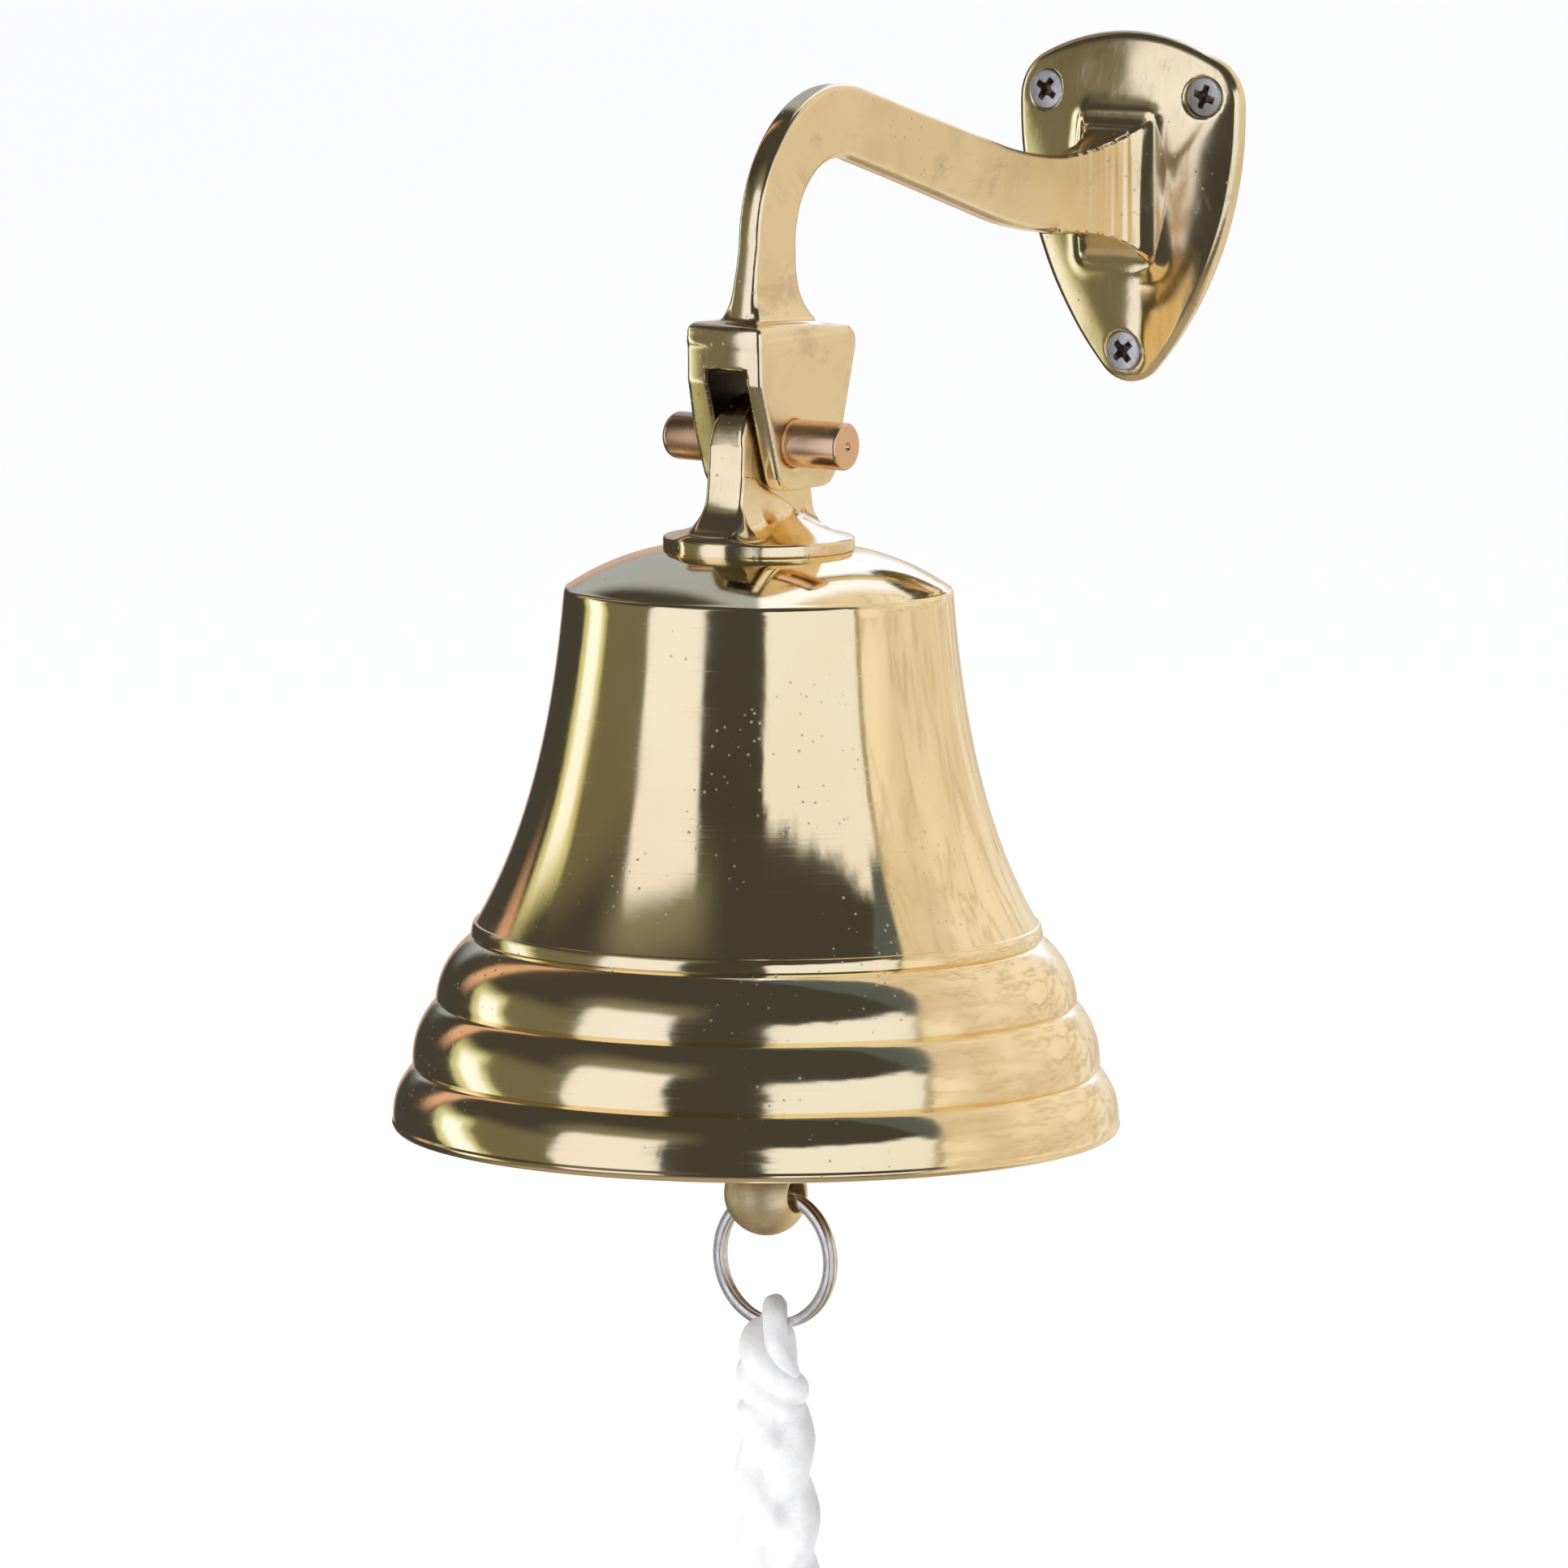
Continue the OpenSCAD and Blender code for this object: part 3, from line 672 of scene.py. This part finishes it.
# (radius, height) on the flange's upper side, and (half width, height) down the lug's side
FOOT = np.array(bezier([[3.2, -8.8], [5.2, -12.2], [9, -14.8], [15.9, -16.2]], 30))
SIDE = np.array([[10.4, 0], [10.5, -3]] + bezier([[10.6, -5], [10.9, -9.5], [11.6, -13], [13.6, -16.6]], 20))


def hanger(p):
    """The lug on the pin with its flange, and below them the threaded stud and the flat tang."""
    x, y, z = p.T
    beside, h = y + REACH, z + DROP
    ax, d = np.abs(x), np.abs(beside)
    rho = np.hypot(x, d)
    top = (np.hypot(d / 10.4, h / 8.32) - 1) * 8.6
    wide = np.interp(-h, -SIDE[:, 1], SIDE[:, 0])
    wide = wide - np.where(beside < 0, 0.05 * x, 0)
    side = np.where(h > 0, top, (d - wide) / np.interp(-h, [5, 10, 16.5], [1, 1.1, 1.3]))
    tongue = rmax(side, ax - 2.6 - 1.15 * np.clip((9 - h) / 9, 0, 1), 0.8)
    tongue = np.maximum(tongue, -17.5 - h)
    over = h - np.interp(rho, FOOT[:, 0], FOOT[:, 1])
    foot = rmax(over / np.interp(rho, [3.2, 7, 12], [2.6, 1.5, 1.05]), rho - 16.4, 0.5)
    foot = rmax(foot, SEAT - h, 0.25)
    shape = rmin(tongue, foot, 3.0 + 2.6 * np.clip((-beside - 6) / 5, 0, 1))
    round_it = np.arctan2(beside, x) / (2 * math.pi)
    thread = np.abs((h - STUD_PITCH * round_it) % STUD_PITCH - STUD_PITCH / 2) * 0.9 * (h < -23.5)
    stud = np.maximum(rho - STUD_R + np.minimum(thread, 0.42) * 0.9, np.maximum(h + 18, -33.4 - h))
    tang = rmax(rmax(rho - STUD_R, ax - 2.5, 0.3), np.maximum(h + 33, -40.5 - h), 0.5)
    shape = np.minimum(shape, np.minimum(stud, tang))
    shape = rmax(shape, PIN_R + 0.08 - np.hypot(d, h), 0.3)
    for swing in SWING_ENDS:  # room for the fork's cheeks
        c, s = math.cos(math.radians(swing)), math.sin(math.radians(swing))
        cheeks = np.maximum(fork_block(x, beside * c - h * s, beside * s + h * c), 3.9 - ax)
        shape = rmax(shape, 0.25 - cheeks, 0.3)
    return rmax(shape, 1.9 - np.hypot(d, h - CROSS_HOLE), 0.3)


points, faces = skin(hanger, (-17.6, -REACH - 17.6, -78), (17.6, -REACH + 17.6, -26), 0.3)
build("bell_hanger_casting", points, faces, brass_cast, "bell", "bell_hanger", "polished_brass")

# (radius, height) of the edges between the waist and the three beads, and of the crown's edge
g0, g1, g2 = np.array([[49.0, -85.2], [55.0, -96.3], [58.875, -107.6]])
shoulder = np.array([33.1, -24.9])


def bead(a, b, h, n):
    """The points between a and b on a round bead, h proud of the line between them."""
    a, b = np.array(a, float), np.array(b, float)
    d = b - a
    normal = np.array([-d[1], d[0]]) / np.linalg.norm(d)
    return [(a + d * t + h * math.sin(math.pi * t) ** 0.8 * normal).tolist() for t in np.arange(1, n) / n]


outer = ([[4.3, SEAT], [16.6, SEAT]]
         + bezier([[17.5, SEAT - 0.15], [22, SEAT - 0.9], [28, SEAT - 3.2], shoulder - [0.5, 0]], 24)
         + [(shoulder + v).tolist() for v in ([-0.1, -0.2], [0.1, -0.5], [0.2, -0.9])]
         + bezier([shoulder + [0.3, -1.6], shoulder + [2.2, -25], g0 + [-9.2, 17], g0 + [-0.9, 2.6]], 90)
         + [(g0 + v).tolist() for v in ([-0.5, 2.5], [-0.25, 2.1], [-0.05, 1.2], [0.05, 0.4], [-0.35, 0])]
         + bead(g0 + [0, -0.2], g1, 1.5, 28) + [(g1 + [-0.35, 0]).tolist()]
         + bead(g1 + [0, -0.2], g2, 1.35, 28) + [(g2 + [-0.35, 0]).tolist()]
         + bead(g2 + [0, -0.2], [LIP_R - 0.3, LIP + 1.4], 1.2, 28)
         + arc((LIP_R - 1.4, LIP + 1.4), 1.4, 0, -90, 8))
inner = (arc((LIP_R - 1.6, LIP + 4.2), 4.2, 270, 180, 10)
         + [[g2[0] - 6.4, g2[1]], [g1[0] - 6.2, g1[1] + 0.5]]
         + bezier([g0 + [-5.4, 0], g0 + [-13.4, 18], shoulder + [2.2 - WALL, -25],
                   shoulder + [-WALL, -8]], 50)
         + arc((shoulder[0] - WALL - 5, shoulder[1] - 7.5), 5, 0, 62, 8)
         + [[16.4, SEAT - 4], [4.3, SEAT - 4]])
TURNS, BEAD_ROWS = 288, 105  # faces round the bell, and rows of them from just above the beads to the lip
points, faces = lathe(outer + inner, TURNS, closed=True)
bell = build("bell_body", points + [0, -REACH, -DROP], faces, [brass_bell, brass_inside, brass_beads], "bell",
             "bell_shell", "polished_brass", sharp=32)
for i, poly in enumerate(bell.data.polygons):
    row = i // TURNS
    if len(outer) + 3 < row < len(outer) + len(inner) - 1:
        poly.material_index = 1
    elif row > len(outer) - BEAD_ROWS:
        poly.material_index = 2

for name, material, width in (("crown_washer", brass_plain, 0.25), ("crown_nut", brass_plain, 0.3),
                              ("clapper_link", steel, 0)):
    o = nodes[name]
    o.data.materials.clear()
    o.data.materials.append(material)
    if width:
        edge = o.modifiers.new("edges", "BEVEL")
        edge.width, edge.segments = width * MM, 2
        edge.limit_method, edge.angle_limit = "ANGLE", math.radians(40)


# ---------- clapper and split ring ----------

BOB, TAIL, EYE = -102.5, -129.5, -50.6  # heights from the pin
LEAN = 0.0265  # the clapper hangs this far to one side for each mm below its eye
# depth below the pin, and the rod's radius there
ROD = [(50, 2.2), (55, 2.3), (68, 3.1), (76, 3.4), (86, 4.2), (92, 5), (113, 5.2), (118, 4.5), (124, 4.4),
       (130, 4.4)]


def clapper(p):
    """The eye, rod, bob and round tail with its cross hole, in one casting."""
    x, y, z = p.T
    d, h = y + REACH, z + DROP
    x = x - LEAN * np.maximum(EYE - h, 0)
    ax = np.abs(x)
    rho = np.hypot(x, d)
    rod = np.maximum(rho - np.interp(-h, *zip(*ROD)), np.maximum(h + 51, -129 - h))
    bob = np.sqrt(rho**2 + (h - BOB) ** 2) - 12.5
    knob = np.sqrt(rho**2 + (h - TAIL + 0.2) ** 2) - 7.2
    eye = rmax(np.hypot(d, h - EYE) - 4.9, ax - 1.7, 0.5)
    shape = rmin(rmin(rmin(rod, bob, 1.6), knob, 1.4), eye, 0.8)
    shape = rmax(shape, 2.2 - np.hypot(d, h - EYE), 0.3)
    hole = np.interp(x, [-7.6, -2.6, 2.6, 7.6], [5.0, 2.7, 2.7, 2.9])
    return rmax(shape, (hole - np.hypot(d, h - TAIL)) * 0.9, 0.35)


points, faces = skin(clapper, (-13.5, -REACH - 13.5, -174.5), (15.5, -REACH + 13.5, -79), 0.36)
build("clapper_casting", points, faces, brass_satin, "clapper", "clapper", "satin_brass")

RING_R, RING_Z, RING_X = 11.35, -176.7, 4.1
# two turns of flat wire that lie side by side
along = np.linspace(0, 4 * math.pi - 0.25, 361)
shift = np.clip((along - 2 * math.pi + 0.55) / 0.9, 0, 1)
shift = shift * shift * (3 - 2 * shift)
path = np.stack([RING_X + RING_R * np.sin(along + 0.3), -REACH - 0.655 + 1.31 * shift,
                 RING_Z + RING_R * np.cos(along + 0.3)], 1)
a = np.linspace(0, 2 * math.pi, 20, endpoint=False)
wire = np.stack([0.9 * np.sign(np.cos(a)) * np.abs(np.cos(a)) ** 0.62,
                 0.63 * np.sign(np.sin(a)) * np.abs(np.sin(a)) ** 0.62], 1)
tip = np.clip(np.minimum(along, along[-1] - along) / 0.12, 0, 1)
points, faces = sweep(path, wire * (0.55 + 0.45 * np.sqrt(tip))[:, None, None], (0, 0, 1))
build("split_ring_coil", points, faces, steel, "ring", "split_ring", "steel_wire", sharp=60)


# ---------- lanyard ----------

ROPE_X, RING_LOW = RING_X, -188.05
ROPE_TOP = RING_LOW - 13
route = np.array([
    [0, 0, 0], [0.2, 0, -8], [0.5, 0.1, -16], [0.9, 0.2, -24], [1.3, 0.3, -32], [1.6, 0.3, -40],
    [1.8, 0.3, -48], [1.8, 0.2, -56], [1.6, 0.1, -64], [1.3, 0, -72], [1, 0, -80], [0.7, -0.1, -88],
    [0.4, -0.1, -96], [0.2, 0, -104], [0.1, 0, -112], [0, 0, -120], [0, 0, -130], [0.2, 0, -138],
    [0.3, 0, -147]]) + [ROPE_X, -REACH, ROPE_TOP]
across = np.array([math.cos(math.radians(VIEW_AZ)), math.sin(math.radians(VIEW_AZ)), 0])
depth = np.array([-across[1], across[0], 0])


def cord_tube(path, radius, step=0.5, sides=30, lay=4.4):
    """A soft braided cord: a tube with a low diamond relief and rounded ends."""
    p = even(path, step)
    s = np.arange(len(p)) * step
    a = np.linspace(0, 2 * math.pi, sides, endpoint=False)
    spin = s[:, None] * 2 * math.pi / lay
    weave = np.maximum(np.cos(5 * a + spin), np.cos(5 * a - spin))
    lumps = 0.045 * np.sin(s * 0.55 + radius)[:, None] * np.cos(2 * a + s[:, None] * 0.12)
    end = np.clip(np.minimum(s, s[-1] - s) / radius, 0.01, 1)
    r = radius * np.sqrt(1 - (1 - end) ** 2)[:, None] * (0.975 + 0.025 * weave + lumps)
    return sweep(p, np.stack([r * np.cos(a), r * np.sin(a)], -1), (0.8, 0.6, 0.02))


def soft_min(parts, k):
    """A union with soft creases."""
    parts = np.stack(parts)
    low = parts.min(0)
    return low - k * np.log(np.exp(np.maximum((low - parts) / k, -30)).sum(0))


def fuzz(p):
    """Small unevenness of soft cotton yarn."""
    x, y, z = p.T
    coarse = np.sin(1.9 * x + 0.8 * z) * np.sin(1.6 * y - 0.7 * z)
    fine = np.sin(3.7 * z + 2.1 * x) * np.sin(3.1 * x - 2.3 * y)
    return 0.07 * coarse + 0.045 * fine


def strands(p, paths, k):
    """Distance to a bundle of cords, each (points, radius)."""
    parts = []
    for path, radius in paths:
        q = even(path, 1.1)
        best = np.full(len(p), 1e9)
        for a, b in zip(q, q[1:]):
            d = b - a
            t = np.clip((p - a) @ d / (d @ d), 0, 1)
            best = np.minimum(best, ((p - a - t[:, None] * d) ** 2).sum(1))
        parts.append(np.sqrt(best) - radius)
    return soft_min(parts, k) + fuzz(p)


LINE = even(route, 1.0)
LAY, STRAND_R, THICK = 39.5, 3.3, 1.5  # a turn of the plait, a cord's radius, and how deep the cords swing
PLAIT_END = 137


def plait(p):
    """Three soft cords plaited along the route."""
    level = LINE[::-1, 2]
    s = ROPE_TOP - p[:, 2]
    off = p - np.stack([np.interp(p[:, 2], level, LINE[::-1, k]) for k in range(3)], 1)
    u, v = off @ across, off @ depth
    wide = 3.0 + 0.7 * np.clip(s / 22, 0, 1) + 0.15 * np.sin(s / 11)
    parts = []
    for i in range(3):
        w = 2 * math.pi * (s / LAY + i / 3) + 0.5
        lean = np.hypot(wide * np.cos(w), 2 * THICK * np.cos(2 * w)) * 2 * math.pi / LAY
        off_line = np.hypot(u - wide * np.sin(w), v - THICK * np.sin(2 * w))
        parts.append(off_line / np.sqrt(1 + lean**2) - STRAND_R)
    body = soft_min(parts, 0.55) + fuzz(p)
    return rmax(rmax(body, -s, 2.0), s - PLAIT_END, 2.0)


low, high = LINE.min(0) - [9, 9, 0], LINE.max(0) + [9, 9, 1]
points, faces = skin(plait, (*low[:2], ROPE_TOP - PLAIT_END - 1), high, 0.6)
rope = build("lanyard_plait", points, faces, cotton, "rope", "lanyard", "white_cotton")

ring_wire = np.array([ROPE_X, -REACH, RING_LOW])


def near_ring(*uvw):
    """A point by its distance to the right, away and up from the ring's lowest point."""
    u, v, w = uvw
    return ring_wire + u * across + v * depth + np.array([0, 0, w])


loop = [(0.2, 3.2, -9), (0, 3.6, -5), (-0.1, 3.3, -1), (0, 2.3, 1.8), (0, 0, 2.95), (0, -2.3, 1.8),
        (0.1, -3.4, -1), (0.6, -3.9, -4), (1.7, -3.8, -7), (2.9, -2.6, -10)]
points, faces = cord_tube([near_ring(*q) for q in loop], 2.15, 0.4)
lanyard_loop = build("lanyard_loop", points, faces, cotton, "rope", None, "white_cotton")


def coil(radius, low, turns, start, at, flat, n):
    """A winding that goes down round the rope."""
    t = np.linspace(0, 1, n)
    a = np.radians(start) + t * turns * 2 * math.pi
    return (at + (radius * np.cos(a))[:, None] * across + (radius * flat * np.sin(a))[:, None] * depth
            + np.stack([0 * t, 0 * t, low * t], 1))


# the cords of the top knot: points from the ring's lowest point, and the radius
KNOT = [
    ([(-1.5, 1.5, -1.4), (-3.1, -0.3, -2.8), (-2.9, -2.4, -5.2), (-0.8, -3.5, -7.6), (1.8, -2.9, -9.8),
      (3.1, -0.6, -11.4), (2.2, 1.8, -12.6), (-0.5, 2.6, -13.2)], 2.9),
    ([(1.0, 2.4, -5.5), (-2.0, 2.2, -6.5), (-3.7, 0, -8.2), (-3.2, -1.9, -10.6), (-0.8, -2.7, -12.8),
      (1.6, -1.8, -14.6), (1.4, 0.8, -15.6)], 2.8),
    ([(0.3, 1.0, -3), (0.5, 0.6, -7), (0.2, 0.4, -12), (0.1, 0.3, -18)], 3.3),
    ([(-2.5, -0.5, -11), (-2.6, -0.5, -15), (-2.5, -0.3, -19.5)], 2.9),
]
knot_paths = [([near_ring(*q) for q in path], r) for path, r in KNOT]
points, faces = skin(lambda p: strands(p, knot_paths, 0.35), ring_wire - [9, 9, 24],
                     ring_wire + [9, 9, 3], 0.5)
top_knot = build("lanyard_top_knot", points, faces, cotton, "rope", None, "white_cotton")

knot_top = np.array([ROPE_X, -REACH, ROPE_TOP - 114])
end_paths = [(coil(5.9, -12.5, 1.9, -100, knot_top + [0, 0, -3.6], 0.92, 60), 3.5),
             (coil(4.2, -9.0, 1.2, 40, knot_top + [0, 0, -5.5], 0.9, 40), 3.6)]
points, faces = skin(lambda p: strands(p, end_paths, 0.35), knot_top - [12, 12, 22],
                     knot_top + [12, 12, 3], 0.6)
end_knot = build("lanyard_end_knot", points, faces, cotton, "rope", None, "white_cotton")

rng = np.random.default_rng(11)
YARNS, YARN_R, GOLDEN_ANGLE = 90, 0.42, 2.39996
yarns = []
for i in range(YARNS):
    a, r = i * GOLDEN_ANGLE, 0.55 * math.sqrt(i + 0.5) * 0.92
    out = np.array([math.cos(a), math.sin(a), 0]) * r
    length = 13.5 + 3 * rng.random()
    bend = rng.normal(0, 0.35, 3) * [1, 1, 0]
    base = np.array([ROPE_X + 0.1, -REACH, ROPE_TOP - 131])
    points = [base + 0.62 * out, base + 0.9 * out - [0, 0, length * 0.35] + bend,
              base + 1.0 * out - [0, 0, length * 0.7] - bend, base + 1.02 * out - [0, 0, length]]
    p = even(points, 1.4)
    b = np.linspace(0, 2 * math.pi, 6, endpoint=False)
    yarns.append(sweep(p, YARN_R * np.stack([np.cos(b), np.sin(b)], -1)[None], (0.8, 0.6, 0.02)))
tassel = build("lanyard_tassel", *joined(*yarns), cotton, "rope", None, "white_cotton")


# ---------- floor, light and surroundings ----------

floor_z, floor_half = cad_box[0].z - 0.02, 40
mesh = bpy.data.meshes.new("floor")
corners = [(x * floor_half, y * floor_half, floor_z) for x, y in ((-1, -1), (1, -1), (1, 1), (-1, 1))]
mesh.from_pydata(corners, [], [(0, 1, 2, 3)])
floor = bpy.data.objects.new("floor", mesh)
bpy.context.scene.collection.objects.link(floor)
pale = Shade("pale_floor", (0.85, 0.85, 0.84), 0.0, 0.9, Emission_Color=(1, 1, 1, 1), Emission_Strength=0.62)
mesh.materials.append(pale.mat)
floor.visible_glossy = False


def area_light(name, azimuth, elevation, distance, size, watts, colour=(1, 1, 1)):
    """A soft light round the object, with azimuth counted from the camera toward its right."""
    a, e = math.radians(azimuth + VIEW_AZ), math.radians(elevation)
    out = Vector((math.sin(a) * math.cos(e), -math.cos(a) * math.cos(e), math.sin(e)))
    lamp = bpy.data.objects.new(name, bpy.data.lights.new(name, "AREA"))
    lamp.data.shape, lamp.data.size, lamp.data.size_y = "RECTANGLE", *size
    lamp.data.energy, lamp.data.color = watts, colour
    bpy.context.scene.collection.objects.link(lamp)
    lamp.location = Vector((0, -0.1, -0.15)) + distance * out
    lamp.rotation_mode = "QUATERNION"
    lamp.rotation_quaternion = out.to_track_quat("Z", "Y")
    lamp.visible_glossy = lamp.visible_camera = False


area_light("key", -45, 30, 1.6, (0.9, 1.2), 19, (1.0, 0.975, 0.93))


class Sky(Shade):
    """The room that the brass reflects, painted by direction: by azimuth, counted from the camera toward its
    right, and by elevation."""

    def __init__(self):
        world = bpy.data.worlds.new("studio")
        bpy.context.scene.world = world
        world.use_nodes = True
        self.tree = world.node_tree
        self.back = self.tree.nodes["Background"]
        self.place = self.node("TexCoord").outputs["Generated"]
        a = math.radians(VIEW_AZ)
        front = self.dot((math.sin(a), -math.cos(a), 0))
        side = self.dot((math.cos(a), math.sin(a), 0))
        wobble = self.math("MULTIPLY", self.math("SUBTRACT", self.noise(2.4, 3, 0.6), 0.5), 6)
        self.az = self.math("ADD", self.degrees(self.math("ARCTAN2", side, front)), wobble)
        self.el = self.math("ADD", self.degrees(self.math("ARCSINE", self.dot((0, 0, 1)))), wobble)

    def degrees(self, angle):
        return self.math("MULTIPLY", angle, 180 / math.pi)

    def dot(self, v):
        n = self.node("VectorMath", operation="DOT_PRODUCT")
        self.tree.links.new(self.place, n.inputs[0])
        n.inputs[1].default_value = v
        return n.outputs["Value"]

    def paint(self, under, az, el, colour, soft=(3, 5), az_from=None, el_from=None):
        """colour over under, between two azimuths and two elevations."""
        azimuth, elevation = az_from or self.az, el_from or self.el
        mask = self.span(azimuth, az[0] - soft[0], az[0] + soft[0])
        for value, a, w, up in ((azimuth, az[1], soft[0], False), (elevation, el[0], soft[1], True),
                                (elevation, el[1], soft[1], False)):
            mask = self.math("MULTIPLY", mask, self.span(value, a - w, a + w, *((0, 1) if up else (1, 0))))
        return self.mix(mask, under, colour)


sky = Sky()
rough_edge = sky.math("MULTIPLY", sky.math("SUBTRACT", sky.noise(9, 4, 0.7), 0.5), 13)
ragged_az = sky.math("ADD", sky.az, rough_edge)
ragged_el = sky.math("ADD", sky.math("SUBTRACT", sky.el, sky.math("MULTIPLY", sky.az, 0.12)), rough_edge)
leaning = sky.math("ADD", sky.az, sky.math("MULTIPLY", sky.el, 0.35))
high = sky.math("MAXIMUM", sky.el, 0)
curved = sky.math("SUBTRACT", sky.az, sky.math("MULTIPLY", sky.math("MULTIPLY", high, high), 0.009))
veins = sky.math("ABSOLUTE", sky.math("SUBTRACT", sky.noise(4.5, 5, 0.6, None, 0.8), 0.5))
plaster = sky.mix(sky.span(sky.noise(1.6, 3), 0.35, 0.65), (0.80, 0.73, 0.65), (0.97, 0.93, 0.89))
plaster = sky.mix(sky.span(veins, 0.0, 0.035), (0.60, 0.51, 0.40), plaster)
PATCHES = [  # azimuths, elevations, colour, softness of the edges, and bent coordinates where it has them
    ((-400, 400), (-100, -42), (0.40, 0.36, 0.30), (1, 14)),  # floor
    ((-108, -66), (-45, 24), (0.18, 0.17, 0.12), (3, 8)),  # dim wall left of the softbox
    ((-74, -26), (30, 46), (0.25, 0.25, 0.195), (12, 9)),  # glow over the softbox
    ((-400, -156), (10, 85), (0.42, 0.49, 0.63), (5, 6)),  # pale light behind the bell, on the left
    ((-139, -130), (12, 52), (0.80, 0.50, 0.38), (2.5, 8)),  # warm strip
    ((-400, -168), (-40, 12), (0.62, 0.47, 0.39), (3, 5)),  # warm wall behind the bell
    ((-122, -100), (-28, 20), (0.66, 0.70, 0.42), (2, 5), leaning),  # green edge of the far window
    ((-117, -104), (-22, 15), (1.2, 1.3, 1.6), (2.5, 5), leaning),  # far window
    ((-67, -31), (-32, 34), (0.99, 1.04, 1.30), (1.5, 4)),  # softbox
    ((4, 64), (-34, 24), (0.95, 1.01, 1.20), (1.6, 3), ragged_az, ragged_el),  # window on the right
    ((59, 140), (26, 88), (0.105, 0.132, 0.16), (1.5, 3)),  # dark ceiling beside the plaster wall
    ((59, 400), (-45, 78), plaster, (1.2, 8), curved),  # plaster wall
    ((58, 61), (-45, 27), (0.40, 0.36, 0.28), (0.7, 5), curved),  # its edge
    ((156, 400), (10, 85), (1.12, 1.27, 1.78), (5, 6)),  # bright light behind the bell, on the right
]
colour = (0.062, 0.061, 0.057)
for azimuths, elevations, tone, soft, *bent in PATCHES:
    colour = sky.paint(colour, azimuths, elevations, tone, soft, *bent)
sky.set(sky.back, Color=sky.mix(sky.node("LightPath").outputs["Is Camera Ray"], colour, (1.0, 1.0, 1.0)))
